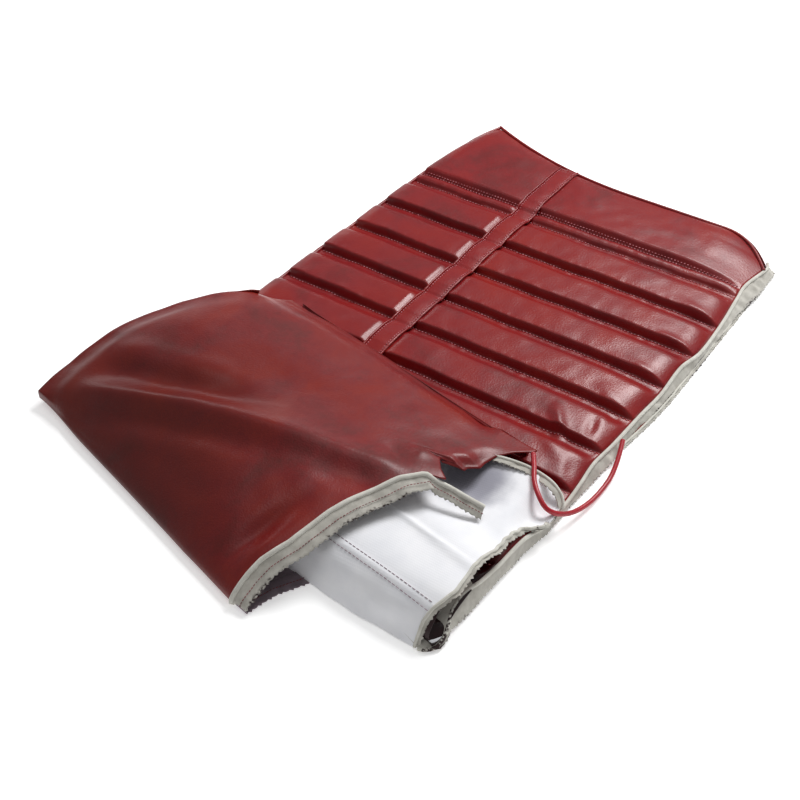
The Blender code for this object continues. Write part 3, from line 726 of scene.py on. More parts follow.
BAND_STEPS = 360
VINYL_WALL = 0.0011
band = thicken(make("trim_band", cloth_grid(BAND_STEPS, 14, band_point), band_red), VINYL_WALL)
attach(band, "root")
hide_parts("trim_band")
band_bm = bmesh.new()
for side, sign in (("upper", 1.0), ("lower", -1.0)):
    run = []
    row = []
    for k in range(BAND_STEPS + 1):
        x = band_span(k / BAND_STEPS)
        y = BAND_Y + sign * (BAND_WIDTH / 2 - 0.0016) + band_sway(x)
        run.append((x, y, band_z(x, y) + 0.0006))
        y_row = y - sign * 0.0032
        row.append(Vector((x, y_row, band_z(x, y_row) + 0.0002)))
    edge = cord(f"band_cord_{side}", run, 0.0015, band_red)
    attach(edge, "root")
    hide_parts(f"trim_band_cord_{side}")
    stitch_row(band_bm, row, pitch=0.0042, length=0.0028, thick=0.0013)
band_stitches = make("band_stitches", band_bm, thread)
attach(band_stitches, "root")

# ------------------------------------------------------------------ piping and boxing, table side
# Vinyl-covered cord sewn between the front and the boxing, round the right end and the closed
# edge. The boxing is a narrow strip that stands between front and back and slumps outwards.
corner_y = 0.19
for _ in range(12):
    corner_y = closed_edge(end_edge(corner_y))
mouth_y = mouth_edge(END_X)
end_ys = [mouth_y + 0.004 + k * (corner_y - mouth_y - 0.004) / 60 for k in range(61)]


def welt_z(x, y):
    """Height of the end piping, which drops a little at the mouth."""
    return WELT_Z - 0.006 * math.exp(-((y - mouth_edge(x)) / 0.03) ** 2)


end_welt = cord("end_piping", [(end_edge(y), y, welt_z(0.4, y)) for y in end_ys], WELT_R, front_red)
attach(end_welt, "root")
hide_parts("end_piping_right")
top_right = end_edge(corner_y)
top_xs = [inner_line(CLOSED_Y) + 0.004 + k * (top_right - inner_line(CLOSED_Y) - 0.004) / 90
          for k in range(91)]


def top_welt_z(x):
    """The closed edge's piping is rolled under, and comes up to the corner."""
    return 0.0150 + 0.0050 * smooth((x - 0.36) / 0.06) + 0.0005 * ripple(x, 0.0, 0.03)


top_welt = cord("closed_edge_piping",
                [(x, closed_edge(x) - 0.0006, top_welt_z(x)) for x in top_xs],
                WELT_R, front_red)
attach(top_welt, "root")
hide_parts("top_piping")


def slump(u, t):
    """How far the boxing stands out: a soft belly with shallow buckles."""
    return 0.0075 * math.sin(math.pi * (0.12 + 0.78 * u)) * (1.0 + 0.22 * ripple(t, u * 0.02, 0.045, 4.0))


def end_boxing_point(u, v):
    y = end_ys[0] + (end_ys[-1] + 0.002 - end_ys[0]) * v
    z = WELT_Z - 0.001 - (WELT_Z - 0.0022) * u
    return end_edge(y) + 0.0016 + slump(u, y), y, z


def top_boxing_point(u, v):
    x = top_xs[0] + (top_xs[-1] - top_xs[0]) * v
    high = top_welt_z(x) - 0.001
    return x, closed_edge(x) + 0.0008 + slump(u, x) * 0.8, high + (0.0012 - high) * u


end_boxing = thicken(make("end_boxing", cloth_grid(14, 120, end_boxing_point, (0.2, 0.0, 0.01)),
                          back_red), VINYL_WALL)
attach(end_boxing, "root")
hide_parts("end_boxing_right")
top_boxing = thicken(make("closed_edge_boxing", cloth_grid(14, 160, top_boxing_point, (0.0, 0.0, 0.01)),
                          back_red), VINYL_WALL)
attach(top_boxing, "root")
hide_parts("top_boxing_base")

# ------------------------------------------------------------------ mouth binding, table side
# The mouth is bound in grey-beige cotton tape: a filled bead along the edge and a sleeve that
# hangs outwards to a pinked edge, oversewn with dark thread. It is wavy from use.
TOOTH = 0.0040


def binding_tape(name, light, dark):
    """Woven cotton tape, matt, with dark oversewing along its cut edge."""
    mat, shader = new_material(name)
    coords = add(mat, "TexCoord")
    place = coords.outputs["Object"]
    cloud = add(mat, "TexNoise", None, {"Vector": place, "Scale": 1 / (12 * MM), "Detail": 4.0,
                                        "Roughness": 0.65})
    ramp = add(mat, "ValToRGB", None, {"Fac": cloud.outputs["Fac"]})
    colour = stops(ramp, (0.30, dark), (0.68, light))
    across = add(mat, "SeparateXYZ", None, {"Vector": coords.outputs["UV"]}).outputs["X"]
    knots = add(mat, "TexNoise", None, {"Vector": place, "Scale": 1 / (3.2 * MM), "Detail": 2.0})
    patch = add(mat, "TexNoise", None, {"Vector": place, "Scale": 1 / (45 * MM), "Detail": 1.0})
    sum_a = add(mat, "Math", {"operation": "ADD"}, {0: knots.outputs["Fac"], 1: patch.outputs["Fac"]})
    spots = add(mat, "MapRange", None, {"Value": sum_a.outputs[0], "From Min": 1.10, "From Max": 1.22})
    rim = add(mat, "MapRange", None, {"Value": across, "From Min": 0.80, "From Max": 0.94})
    dark_share = add(mat, "Math", {"operation": "MULTIPLY"},
                     {0: spots.outputs["Result"], 1: rim.outputs["Result"]})
    sewn = add(mat, "Mix", {"data_type": "RGBA"},
               {"Factor": dark_share.outputs[0], 6: colour, 7: hex_colour("#2A1214")})
    ribs = add(mat, "TexNoise", None, {"Vector": place, "Scale": 1 / (1.6 * MM), "Detail": 3.0})
    bump = add(mat, "Bump", None, {"Height": ribs.outputs["Fac"], "Strength": 0.35, "Distance": 0.4 * MM})
    plug(mat, shader, Base_Color=sewn.outputs[2], Roughness=0.85, Normal=bump.outputs["Normal"],
         Sheen_Weight=0.2)
    return mat


tape = binding_tape("grey_binding_tape", "#C4C1B8", "#A9A59C")
bead_tape = binding_tape("binding_bead_tape", "#DAD8CF", "#C6C3B9")


def even(points, step):
    """The same line with points at an even step."""
    out, left = [points[0].copy()], step
    for a, b in zip(points, points[1:]):
        run = (b - a).length
        while left <= run:
            out.append(a + (b - a) * (left / run))
            left += step
        left -= run
    return out


BINDING_STEP = 0.0024
TOOTH_DEPTH = 0.0014
TAPE_WALL = 0.0009
LOWEST = 0.0010


def bind(name, line, hang, body, nodes, bead=0.0022, wave=0.0015, seed=0.0, fall=0.0, bead_from=0):
    """Binding along a line: hang(t, point) is the vector from the bead to the pinked edge."""
    path = even([Vector(p) for p in line], BINDING_STEP)
    for point in path:
        point.z = max(point.z, bead)
    count = len(path) - 1

    def place(u, v):
        k = round(v * count)
        along = k * BINDING_STEP
        base = path[k]
        way = hang(v, base)
        flutter = wave * u * ripple(along, u * 0.01, 0.020, seed)
        belly = wave * math.sin(math.pi * u) * ripple(along, 0.3, 0.011, seed + 5.0)
        tooth = 0.0
        if u > 0.97:
            tooth = TOOTH_DEPTH * (abs((along / TOOTH) % 1.0 - 0.5) * 4.0 - 1.0)
        out = base + way * u + way.normalized() * tooth
        out.z += flutter + belly - fall * u * u
        out.z = max(out.z, LOWEST)
        return out
    sleeve = thicken(make(name, cloth_grid(9, count, place), tape), TAPE_WALL)
    edge = cord(name + "_bead", path[bead_from:], bead, bead_tape)
    edge.data.bevel_resolution = 2
    for piece in (sleeve, edge):
        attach(piece, body)
    if nodes:
        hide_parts(*nodes)
    return sleeve, path


# Where the pinked edge rests on the table: x, y.
PINKED_RUN = [(-0.3994, -0.2440), (-0.3694, -0.2575), (-0.3419, -0.2600), (-0.2813, -0.2630),
              (-0.2524, -0.2647), (-0.2170, -0.2660), (-0.1931, -0.2690), (-0.1500, -0.2715),
              (-0.1204, -0.2735), (-0.0852, -0.2752), (-0.0686, -0.2772), (-0.0295, -0.2740),
              (0.0017, -0.2750), (0.0216, -0.2790), (0.0625, -0.2805), (0.0985, -0.2825),
              (0.1318, -0.2830), (0.1646, -0.2815), (0.2000, -0.2840), (0.2534, -0.2830),
              (0.3069, -0.2890), (0.3628, -0.2880), (0.3770, -0.2800)]


def line_at(points, x):
    """Y on a run of (x, y) points at x."""
    for (xa, ya), (xb, yb) in zip(points, points[1:]):
        if x <= xb:
            return ya + (yb - ya) * (x - xa) / (xb - xa)
    return points[-1][1]


def front_hang(t, base):
    reach = max(base.y - line_at(PINKED_RUN, base.x), 0.0030)
    return Vector((0.0008, -reach, 0.0020 - base.z * 0.90))


front_path = bind("mouth_binding_front", front_line, front_hang, "root",
                  ["listing_front_base"], wave=0.0022, seed=2.0)[1]
# Beside the fold the sleeve is turned in, and lies on the floor of the dark mouth.
TURNED_IN_X = -0.318
inner_run = [p for p in front_path if p.x < TURNED_IN_X]


def inner_point(u, v):
    base = inner_run[round(v * (len(inner_run) - 1))]
    depth = 0.026 - 0.010 * smooth((base.x + 0.36) / 0.04)
    lift = 0.0016 + 0.0055 * math.sin(0.5 * math.pi * u) + 0.0006 * ripple(base.x, u * 0.02, 0.012, 25.0)
    return base.x + 0.006 * u, base.y + depth * u, base.z + lift


inner_binding = thicken(make("mouth_binding_inner", cloth_grid(10, len(inner_run) - 1, inner_point),
                             tape), TAPE_WALL)
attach(inner_binding, "root")
back_line = [(x * MM, mouth_edge(x * MM) - 0.001, 0.0022) for x in range(372, -300, -6)]
bind("mouth_binding_back", back_line, lambda t, base: Vector((0.0, -0.0035, -0.0008)), "root",
     ["listing_back_base"], bead=0.0014, wave=0.0010, seed=9.0)

# ------------------------------------------------------------------ lining over the fold
# The white cloth side of the pleated front shows where the front turns over the fold and lies
# on itself. A double row of dark stitching marks a flute seam from behind.
FLAP_TURN = math.radians(16.0)
ACROSS = Vector((math.cos(FLAP_TURN), -math.sin(FLAP_TURN)))
FREE_EDGE = -0.0856
FREE_TAN = math.tan(math.radians(11.0))


def free_x(y, inset=0.0):
    """X of the flap's free edge."""
    return FREE_EDGE / ACROSS.x + FREE_TAN * y - inset


FLAP_TOP_Y = 0.312
FLAP_TOP_FALL = 0.145


def flap_top_edge(x):
    """Y of the flap's closed edge, falling away from the fold."""
    t = (x - fold_line(0.30)) / 0.27
    return FLAP_TOP_Y - FLAP_TOP_FALL * max(0.0, t) ** 1.9


# Section of the turned cloth: from the table, up the wall and over on to the level top.
TURNED_TOP = 0.0468
WALL = smooth_route([(0.0, 0.0, 0.0012), (0.0050, 0.0, 0.0120), (0.0115, 0.0, 0.0240),
                     (0.0200, 0.0, 0.0345), (0.0340, 0.0, 0.0425), (0.0520, 0.0, 0.0460),
                     (0.0900, 0.0, TURNED_TOP)], 8)


def foot_x(y):
    """Where the turned cloth stands on the table."""
    return -0.3985 + 0.0095 * smooth((y + 0.200) / 0.140) + max(0.0, y + 0.07) * 0.14


# The scalloped rim of the turned mouth, x and y, and the rounded corner beside it, y and x.
RIM_RUN = [(-0.3997, -0.2385), (-0.3853, -0.2391), (-0.3772, -0.2422), (-0.3632, -0.2484),
           (-0.3503, -0.2528), (-0.3173, -0.2508), (-0.3006, -0.2508), (-0.2820, -0.2540),
           (-0.2576, -0.2528), (-0.2355, -0.2553), (-0.2260, -0.2588), (-0.2201, -0.2655),
           (-0.2103, -0.2705), (-0.1959, -0.2725), (-0.1860, -0.2728)]
CORNER_RUN = [(-0.2735, -0.1850), (-0.2715, -0.1750), (-0.2640, -0.1685), (-0.2500, -0.1640),
              (-0.2240, -0.1626), (-0.2000, -0.1655), (-0.1800, -0.1705), (-0.1350, -0.1430)]
# The folded front's seams, measured across the flap: a flute, the double seam and the bolster.
FIRST_SEAM = -0.3206
DOUBLE_SEAM = -0.2506
LEFT_BOLSTER = -0.2326


def folded_mouth(x):
    """Y of the turned cloth's rim, with the small scallops of its binding."""
    return line_at(RIM_RUN, x) + 0.0010 * math.sin(x / 0.0022) * smooth((x + 0.30) / 0.06)


def lining_right(y):
    """Right end of the folded front: bound short of the free edge near the mouth."""
    near = smooth((-0.135 - y) / 0.045)
    return free_x(y, 0.024) * (1.0 - near) + line_at(CORNER_RUN, y) * near


def top_level(x, y):
    """Height of the turned cloth on top: two tubes where seams run, and a fall to the torn corner."""
    p = ACROSS.x * x + ACROSS.y * y
    level = TURNED_TOP - 0.0108 * smooth((p - LEFT_BOLSTER) / 0.055)
    bowl = 0.0022 * smooth((x - lining_right(y) + 0.045) / 0.045) * smooth((-0.165 - y) / 0.03)
    tube_a = 0.0019 * math.exp(-((x + 0.3650 - 0.13 * (y + 0.165)) / 0.0042) ** 2)
    tube_b = 0.0022 * math.exp(-((x + 0.3040 - 0.20 * (y + 0.190)) / 0.0040) ** 2)
    wave = 0.0012 * ripple(x, y, 0.050, 15.0) * smooth((x + 0.37) / 0.05)
    drop = 0.0110 * smooth((-0.236 - y) / 0.022) * smooth((x + 0.262) / 0.05)
    drop += 0.0030 * smooth((-0.236 - y) / 0.022) * smooth((x + 0.222) / 0.03)
    dip = 0.0100 * math.exp(-((x + 0.212) / 0.030) ** 2 - ((y + 0.168) / 0.030) ** 2)
    sag = 0.0260 * smooth((y - 0.08) / 0.16) * smooth((-0.17 - x) / 0.10)
    return level + bowl + tube_a + tube_b + wave - drop - dip - sag


WALL_SHARE = 0.36


def wall_at(share):
    """X and z at a share of the way along the wall's section."""
    k = share * (len(WALL) - 1)
    i = min(int(k), len(WALL) - 2)
    a, b = WALL[i], WALL[i + 1]
    return a.x + (b.x - a.x) * (k - i), a.z + (b.z - a.z) * (k - i)


def settle(x, y, z):
    """Brings the top of the wall to the level of the turned cloth at a point."""
    share = smooth((z - 0.030) / 0.016)
    return z + (top_level(x, y) - TURNED_TOP) * share, share


def lining_point(u, v):
    def x_at(y):
        if u < WALL_SHARE:
            return foot_x(y) + wall_at(u / WALL_SHARE)[0]
        start = foot_x(y) + WALL[-1].x
        return start + (lining_right(y) - start) * (u - WALL_SHARE) / (1.0 - WALL_SHARE)
    x, y = fit(x_at, folded_mouth, lambda x: flap_top_edge(x) - 0.032, v)
    if u < WALL_SHARE:
        z, share = settle(x, y, wall_at(u / WALL_SHARE)[1])
        buckle = 0.0012 * ripple(z * 1.5, y, 0.030, 17.0) * (1.0 - share)
        return x + buckle, y, z
    return x, y, top_level(x, y)


# The grey patch in the notch is painted shadow of the flap above it.
wrap_cloth = lining("turned_lining_cloth_painted_shadow", "#FAFAFD", "#EFF0F5", "#9A99A4", (0.200, 0.178, -0.040))
# A near-black copy of the red vinyl: painted shade for the inside of the fold and the turned cloth's red
# underside.
fold_red_painted_shade = vinyl("fold_inside_vinyl_painted_shade", "#1C0508", "#25070B", "#2E0A0E", 0.52)
wrap = thicken(make("lining_wrap", cloth_grid(150, 150, lining_point, (-0.25, 0.0, 0.02)), wrap_cloth,
                    fold_red_painted_shade), 0.0008)
wrap.modifiers["wall"].material_offset = 1
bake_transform(wrap)
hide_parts("lining_fold", "backing_cloth_flap")

dark_thread = sewing_thread("dark_wine_thread", "#6E4552", "#A08792", 5 * MM, 0.6)


def lining_surface(x, y):
    """Height of the turned cloth over a point."""
    into = x - foot_x(y)
    if into >= WALL[-1].x:
        return top_level(x, y)
    for a, b in zip(WALL, WALL[1:]):
        if a.x <= into <= b.x:
            return settle(x, y, a.z + (b.z - a.z) * (into - a.x) / (b.x - a.x))[0]
    return WALL[0].z


lining_bm = bmesh.new()
SEAM_SLOPE = 0.13
for x0 in (-0.3610, -0.3685):
    row = []
    for k in range(90):
        y = -0.240 + k * 0.0045
        x = x0 + SEAM_SLOPE * (y + 0.165)
        row.append(Vector((x, y, lining_surface(x, y) + 0.0004)))
    stitch_row(lining_bm, row, pitch=0.0052, length=0.0050, thick=0.0006)
lining_stitches = make("lining_stitches", lining_bm, dark_thread)
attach(lining_stitches, "flap")

# ------------------------------------------------------------------ folded front
# The left end of the pleated front, lying on the right part with its red face downwards:
# the last flute, the strip between the double seam and the thin left bolster.
FOLDED_Z = 0.0302


def folded_under_z(x, y):
    """The red face, seen from below: flutes hang down between the seams."""
    p = ACROSS.x * x + ACROSS.y * y
    share, near = 1.0, 0.03
    for right, left in ((DOUBLE_SEAM, FIRST_SEAM), (LEFT_BOLSTER, DOUBLE_SEAM)):
        if left <= p <= right:
            s = (p - left) / (right - left)
            share = flute_share(s) if right - left > 0.03 else 0.75 * math.sin(math.pi * s) ** 0.6
            near = min(p - left, right - p)
    if p > LEFT_BOLSTER:
        near = p - LEFT_BOLSTER
        share = 0.45 + 0.55 * smooth(near / 0.02)
    if p < FIRST_SEAM:
        share = smooth((FIRST_SEAM - p) / 0.006)
    room = (0.0160 - 0.0108 * smooth((p - LEFT_BOLSTER) / 0.049)) - 0.004
    lift = (1.0 - smooth((y - folded_mouth(x)) / 0.10)) * 0.55
    groove = 0.0014 * math.exp(-(near / 0.0014) ** 2)
    z = FOLDED_Z + room * max(lift, 0.45 * (1.0 - share)) + groove + 0.0003 * ripple(x, y, 0.02, 31.0)
    return min(z, top_level(x, y) - 0.0020)


def folded_point(u, v):
    def x_at(y):
        left = foot_x(y) + 0.058
        return left + (lining_right(y) - 0.003 - left) * u
    x, y = fit(x_at, lambda x: folded_mouth(x) + 0.004, lambda x: flap_top_edge(x) - 0.034, v)
    return x, y, folded_under_z(x, y)


folded_bm = cloth_grid(150, 110, folded_point, (0.0, 0.0, 10.0))
folded_rim = [e for e in folded_bm.edges if e.is_boundary]
rim_wall = bmesh.ops.extrude_edge_only(folded_bm, edges=folded_rim)["geom"]
for item in rim_wall:
    if isinstance(item, bmesh.types.BMVert):
        item.co.z = top_level(item.co.x, item.co.y) - 0.0012
bmesh.ops.recalc_face_normals(folded_bm, faces=folded_bm.faces[:])
folded = make("folded_front", folded_bm, front_red)
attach(folded, "flap")
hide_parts("pleated_face_flap", "bolster_face_left", "flute_foam_10", "flute_foam_11",
            "strip_foam_left", "bolster_foam_left")


# Inside of the turned front: red vinyl round the dark gap between the two faces, coloured near black as
# painted shade.
TURN_IN = smooth_route([(0.0750, 0.0, 0.0135), (0.0450, 0.0, 0.0125), (0.0220, 0.0, 0.0100),
                        (0.0100, 0.0, 0.0105), (0.0110, 0.0, 0.0180), (0.0175, 0.0, 0.0260),
                        (0.0250, 0.0, 0.0320), (0.0370, 0.0, 0.0370), (0.0560, 0.0, 0.0400)], 6)


def turn_point(u, v):
    k = u * (len(TURN_IN) - 1)
    i = min(int(k), len(TURN_IN) - 2)
    at = TURN_IN[i].lerp(TURN_IN[i + 1], k - i)
    y = -0.2480 + 0.4500 * v
    deep = smooth(v / 0.25)
    x = foot_x(y) + at.x
    z = at.z + (0.0050 * deep if at.z < 0.02 else -0.0045 * deep) * smooth((at.x - 0.012) / 0.02)
    if u < 0.42:
        near = (1.0 - smooth(v / 0.12)) * (1.0 - smooth((u - 0.34) / 0.08))
        z += (bead_at(x)[1] - z) * near
        y -= 0.0070 * near
    return x, y, z


turn = thicken(make("fold_inside", cloth_grid(48, 60, turn_point, (-0.30, 0.0, 0.026)), fold_red_painted_shade), 0.0010)
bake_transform(turn)
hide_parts("face_fold")

# Binding round the turned edge: bead along the white cloth, sleeve into the dark mouth.
turned_line = [Vector(lining_point(k / 120 * 0.86, 0.0)) for k in range(121)]


def turned_hang(t, base):
    return Vector((0.0015, -0.0046, -0.0030 * smooth((base.z - 0.01) / 0.02)))


bind("mouth_binding_turned", turned_line, turned_hang, "flap", ["listing_front_flap"],
     bead=0.0018, wave=0.0016, seed=14.0)

# ------------------------------------------------------------------ back panel over the fold
# The plain back of the folded part: one piece of vinyl that rises off the table at the outer
# fold, runs over a soft ridge and a shallow valley, and falls to the free edge. Its mouth is
# bound up to the torn corner, where the vinyl is cut back raw.
# Each section lists x, z from the table up and over, at its own y.
SECTIONS = [
    (-0.200, [(-0.395, 0.0012), (-0.4760, 0.0014), (-0.4880, 0.0070), (-0.4700, 0.0240), (-0.4250, 0.0450),
              (-0.3500, 0.0590), (-0.2550, 0.0660), (-0.2150, 0.0620), (-0.1800, 0.0500), (-0.1300, 0.0385)]),
    (-0.100, [(-0.385, 0.0012), (-0.4530, 0.0014), (-0.4655, 0.0070), (-0.4480, 0.0240), (-0.4050, 0.0460),
              (-0.3400, 0.0640), (-0.2780, 0.0775), (-0.2400, 0.0700), (-0.1750, 0.0560), (-0.1110, 0.0400)]),
    (0.020, [(-0.370, 0.0012), (-0.4210, 0.0014), (-0.4335, 0.0070), (-0.4180, 0.0230), (-0.3850, 0.0430),
             (-0.3350, 0.0650), (-0.2950, 0.0795), (-0.2520, 0.0690), (-0.1700, 0.0590), (-0.0880, 0.0440)]),
    (0.120, [(-0.345, 0.0012), (-0.3920, 0.0014), (-0.4045, 0.0070), (-0.3920, 0.0205), (-0.3680, 0.0360),
             (-0.3380, 0.0545), (-0.3080, 0.0680), (-0.2700, 0.0620), (-0.1800, 0.0640), (-0.0700, 0.0500)]),
    (0.220, [(-0.320, 0.0012), (-0.3640, 0.0014), (-0.3765, 0.0070), (-0.3710, 0.0160), (-0.3610, 0.0270),
             (-0.3470, 0.0385), (-0.3280, 0.0480), (-0.2960, 0.0520), (-0.2000, 0.0665), (-0.0700, 0.0540)]),
    (0.320, [(-0.300, 0.0012), (-0.3360, 0.0014), (-0.3470, 0.0070), (-0.3490, 0.0105), (-0.3480, 0.0150),
             (-0.3430, 0.0200), (-0.3320, 0.0260), (-0.3000, 0.0360), (-0.2300, 0.0540), (-0.1400, 0.0560)])]
MOUTH_RUN = [(-0.490, -0.058), (-0.4560, -0.0615), (-0.4345, -0.0663), (-0.4181, -0.0715),
             (-0.3922, -0.0870), (-0.3471, -0.1027), (-0.3061, -0.1222), (-0.2772, -0.1388),
             (-0.2580, -0.1545), (-0.2535, -0.1660), (-0.2493, -0.1770), (-0.2400, -0.1640),
             (-0.2257, -0.1530), (-0.2205, -0.1523), (-0.2187, -0.1765), (-0.2067, -0.1757),
             (-0.1956, -0.1847), (-0.1843, -0.1841), (-0.1695, -0.1883), (-0.1517, -0.2005),
             (-0.1369, -0.2150), (-0.1200, -0.2200)]
# Soft dents and swellings in the panel: x, y, heading, length, width, height.
FLAP_MARKS = [(-0.2294, -0.1340, 10, 0.022, 0.016, 0.0030), (-0.2500, -0.1180, 60, 0.050, 0.018, -0.0030),
              (-0.3900, -0.0500, -22, 0.090, 0.020, -0.0085), (-0.4100, -0.0640, -22, 0.050, 0.010, 0.0020),
              (-0.3200, -0.0500, 75, 0.090, 0.030, 0.0022), (-0.2100, 0.0600, 80, 0.160, 0.060, -0.0020),
              (-0.3650, 0.0900, 65, 0.120, 0.035, -0.0020),
              (-0.3900, 0.1700, 70, 0.080, 0.020, -0.0022)]
# The line of the ridge on the panel: y, x.
RIDGE_RUN = [(-0.160, -0.2700), (-0.114, -0.2762), (-0.056, -0.2849), (0.026, -0.2958), (0.113, -0.3070),
             (0.222, -0.3281), (0.290, -0.3380)]


def blend_four(values, t):
    """A smooth value at share t between the middle two of four."""
    a, b, c, d = values
    return 0.5 * (2 * b + (c - a) * t + (2 * a - 5 * b + 4 * c - d) * t * t
                  + (3 * b - a - 3 * c + d) * t ** 3)


section_cache = {}


def sections_at(u):
    """X and z at share u along each listed section."""
    if u not in section_cache:
        last = len(SECTIONS[0][1]) - 1
        k = min(max(u, 0.0), 1.0) * last
        i = min(int(k), last - 1)
        rows = []
        for _, points in SECTIONS:
            ends = [2 * points[0][n] - points[1][n] for n in (0, 1)]
            tail = [2 * points[-1][n] - points[-2][n] for n in (0, 1)]
            run = [ends] + list(points) + [tail]
            rows.append([blend_four([p[n] for p in run[i:i + 4]], k - i) for n in (0, 1)])
        section_cache[u] = rows
    return section_cache[u]


def section_point(u, y):
    """The panel at share u along its section, at y: x and z."""
    rows = sections_at(u)
    k = 0
    while k < len(rows) - 2 and y > SECTIONS[k + 1][0]:
        k += 1
    t = (y - SECTIONS[k][0]) / (SECTIONS[k + 1][0] - SECTIONS[k][0])
    near = [rows[j] for j in (max(k - 1, 0), k, k + 1, min(k + 2, len(rows) - 1))]
    return blend_four([r[0] for r in near], t), blend_four([r[1] for r in near], t)


# Height of the flap's closed edge along x.
CLOSED_RUN = [(-0.3379, 0.0212), (-0.3189, 0.0249), (-0.2997, 0.0290), (-0.2781, 0.0365), (-0.2428, 0.0465),
              (-0.2065, 0.0530), (-0.1658, 0.0585), (-0.1351, 0.0605), (-0.0990, 0.0590), (-0.0824, 0.0532)]


def flap_limits(x):
    """Y of the flap's bound or torn edge and of its closed edge."""
    return line_at(MOUTH_RUN, x), flap_top_edge(max(x, -0.335)) + 0.002


def ridge_fold(x, y):
    """A sharper crest on the ridge, a hollow below it and a shallow trough behind it."""
    off = x - line_at(RIDGE_RUN, y)
    ends = smooth((y + 0.150) / 0.05) * smooth((0.285 - y) / 0.06)
    crest = 0.0030 * math.exp(-((off - 0.002) / 0.011) ** 2)
    hollow = 0.0064 * math.exp(-((off + 0.024) / 0.017) ** 2)
    trough = 0.0070 * math.exp(-((off - 0.036) / 0.018) ** 2) * smooth((y - 0.02) / 0.08)
    hump = 0.0042 * math.exp(-((off - 0.066) / 0.020) ** 2) * smooth((y - 0.06) / 0.08)
    return (crest - hollow - trough + hump) * ends


def flap_point(u, v):
    """The folded panel at share u from the table over to the free edge, v from mouth to closed edge."""
    y = 0.0
    for _ in range(7):
        x, z = section_point(u, y)
        low, high = flap_limits(x)
        y += (low + (high - low) * v - y) * 0.85
    x, z = section_point(u, y)
    over = smooth((u - 0.25) / 0.2)
    near_top = smooth((high - y) / 0.036)
    z += (line_at(CLOSED_RUN, x) - z) * (1.0 - near_top) * over
    at_free_end = smooth((u - 0.945) / 0.055) ** 2
    z -= (0.0105 + 0.0080 * smooth((y - 0.02) / 0.12)) * at_free_end * smooth((y + 0.17) / 0.03)
    torn = smooth((x + 0.2235) / 0.004) * smooth((-0.150 - x) / 0.05)
    z -= 0.0100 * torn * (1.0 - smooth((y - low) / 0.020))
    z += (fold_marks(x, y, FLAP_MARKS) + ridge_fold(x, y)) * over + 0.0010 * ripple(x, y, 0.060, 41.0) * over
    z += 0.0003 * ripple(x, y, 0.022, 42.0) * over
    return x, y, z


def knit_backing():
    """The reverse of the back vinyl: a grey-mauve knitted cloth, matt."""
    mat, shader = new_material("mauve_knit_backing")
    place = add(mat, "TexCoord").outputs["Object"]
    cloud = add(mat, "TexNoise", None, {"Vector": place, "Scale": 1 / (14 * MM), "Detail": 4.0})
    ramp = add(mat, "ValToRGB", None, {"Fac": cloud.outputs["Fac"]})
    rows = add(mat, "TexWave", {"bands_direction": "DIAGONAL"},
               {"Vector": place, "Scale": 1 / (10 * MM), "Distortion": 1.5})
    bump = add(mat, "Bump", None, {"Height": rows.outputs["Fac"], "Strength": 0.3, "Distance": 0.4 * MM})
    plug(mat, shader, Base_Color=stops(ramp, (0.3, "#75666F"), (0.7, "#91828B")), Roughness=0.88,
         Normal=bump.outputs["Normal"], Sheen_Weight=0.2)
    return mat


mauve = knit_backing()
# Darker and browner towards the flap's left corner: painted shade on the slope that faces away from the key
# light.
flap_red = vinyl("folded_panel_vinyl_painted_shade", "#5C0D0B", "#761214", "#882214", 0.37, "#470E06",
                 (0.420, -0.180, 0.0), (0.060, 0.330, 0.72))
flap_skin = thicken(make("back_panel_folded", cloth_grid(240, 150, flap_point, (-0.28, 0.0, 0.02)),
                         flap_red, mauve), 0.0014)
flap_skin.modifiers["wall"].material_offset = 1
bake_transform(flap_skin)
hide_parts("back_panel_flap", "back_panel_fold")

# Binding of the flap's mouth: bead on the vinyl's edge, sleeve hanging out over the white cloth.
TEAR_X = -0.2545
flap_line = [Vector(flap_point(0.72 * k / 220, 0.0)) for k in range(221)]
flap_line = [p for p in flap_line if p.x < TEAR_X or p.z < 0.03]
flap_line += smooth_route([(-0.2530, -0.1690, 0.0640), (-0.2500, -0.1830, 0.0600),
                           (-0.2470, -0.2000, 0.0540), (-0.2420, -0.2200, 0.0460)], 5)


def flap_hang(t, base):
    turned = smooth((base.x + 0.262) / 0.010) * (1.0 if base.z > 0.03 else 0.0)
    out = Vector((-0.002, -0.0198, -0.0050 * smooth((base.z - 0.006) / 0.02)))
    side = Vector((-0.0115, -0.0030, -0.0040))
    return out.lerp(side, turned)


flap_binding, flap_path = bind("flap_binding", flap_line, flap_hang, "flap", ["listing_back_flap"],
                               bead=0.0028, wave=0.0009, seed=19.0, fall=0.002, bead_from=26)
flap_binding.data.materials.append(mauve)
for polygon in flap_binding.data.polygons:
    if polygon.center.z < 0.0060 and polygon.center.x > -0.4600:
        polygon.material_index = 1
wine_bm = bmesh.new()
wine_row = [p + flap_hang(0.0, p) * 0.60 + Vector((0.0, 0.0, 0.0006)) for p in flap_path]
stitch_row(wine_bm, wine_row, pitch=0.0036, length=0.0032, thick=0.0008)
wine_thread = sewing_thread("wine_red_thread", "#5E1A22", "#8E3A42", 6 * MM, 0.55)
flap_stitches = make("flap_binding_stitches", wine_bm, wine_thread)
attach(flap_stitches, "flap")

# ------------------------------------------------------------------ free end of the flap
# Boxing, piping and a short grey binding close the free end.
FREE_WELT_Z = 0.0274
FREE_LOW, FREE_HIGH = -0.2050, flap_top_edge(free_x(0.16)) - 0.006


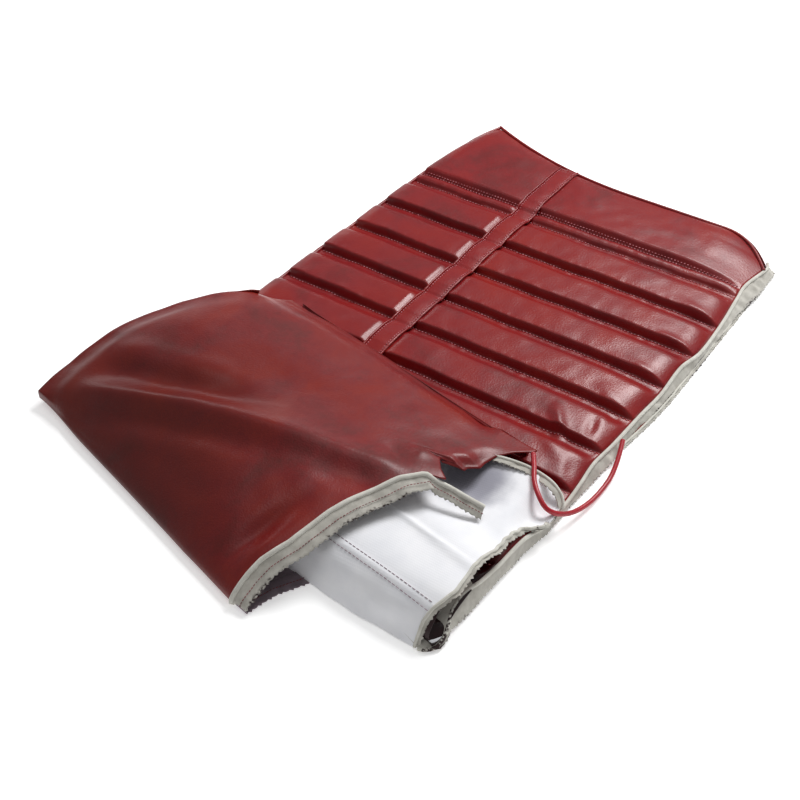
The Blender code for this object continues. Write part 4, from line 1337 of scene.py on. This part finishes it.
def free_boxing_point(u, v):
    y = FREE_LOW + (FREE_HIGH - FREE_LOW) * v
    x = free_x(y)
    mouth = line_at(MOUTH_RUN, x)
    top = Vector(flap_point(1.0, (y - mouth) / (flap_top_edge(x) - mouth))).z
    low = FREE_WELT_Z + 0.0020
    belly = 0.0015 * math.sin(math.pi * u) * (1.0 + 0.2 * ripple(y, u * 0.02, 0.04, 51.0))
    return x - 0.0012 + belly, y, low + (top - 0.001 - low) * (1.0 - u)


free_boxing = thicken(make("flap_end_boxing", cloth_grid(12, 110, free_boxing_point, (-0.2, 0.0, 0.04)),
                           back_red), VINYL_WALL)
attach(free_boxing, "flap")
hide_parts("end_boxing_left")
free_ys = [FREE_LOW + (FREE_HIGH - FREE_LOW) * k / 60 for k in range(61)]
free_welt = cord("flap_end_piping", [(free_x(y, 0.0012), y, FREE_WELT_Z) for y in free_ys],
                 WELT_R, front_red)
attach(free_welt, "flap")
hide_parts("end_piping_left")


def top_flap_boxing_point(u, v):
    x0, x1 = inner_line(0.3) + 0.004, free_x(0.16, 0.034)
    x = x0 + (x1 - x0) * v
    y = flap_top_edge(x)
    high = line_at(CLOSED_RUN, x) - 0.0008
    low = max(high - 0.0240, 0.0180)
    return x, y + 0.0012 + 0.003 * math.sin(math.pi * u), high + (low - high) * u


flap_boxing = thicken(make("flap_closed_boxing",
                           cloth_grid(10, 110, top_flap_boxing_point, (-0.25, 0.0, 0.04)),
                           back_red), VINYL_WALL)
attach(flap_boxing, "flap")
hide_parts("top_boxing_flap")

arc_line = smooth_route([(-0.1700, -0.1800, 0.0430), (-0.1645, -0.2000, 0.0425), (-0.1610, -0.2240, 0.0410),
                         (-0.1622, -0.2490, 0.0375), (-0.1668, -0.2641, 0.0320), (-0.1721, -0.2712, 0.0260),
                         (-0.1780, -0.2735, 0.0205), (-0.1850, -0.2738, 0.0165)], 8)


def arc_hang(t, base):
    return Vector((-0.0085, 0.0035 - 0.0030 * t, -0.0008))


bind("corner_binding", arc_line, arc_hang, "flap", ["listing_end_left"],
     bead=0.0018, wave=0.0010, seed=23.0)
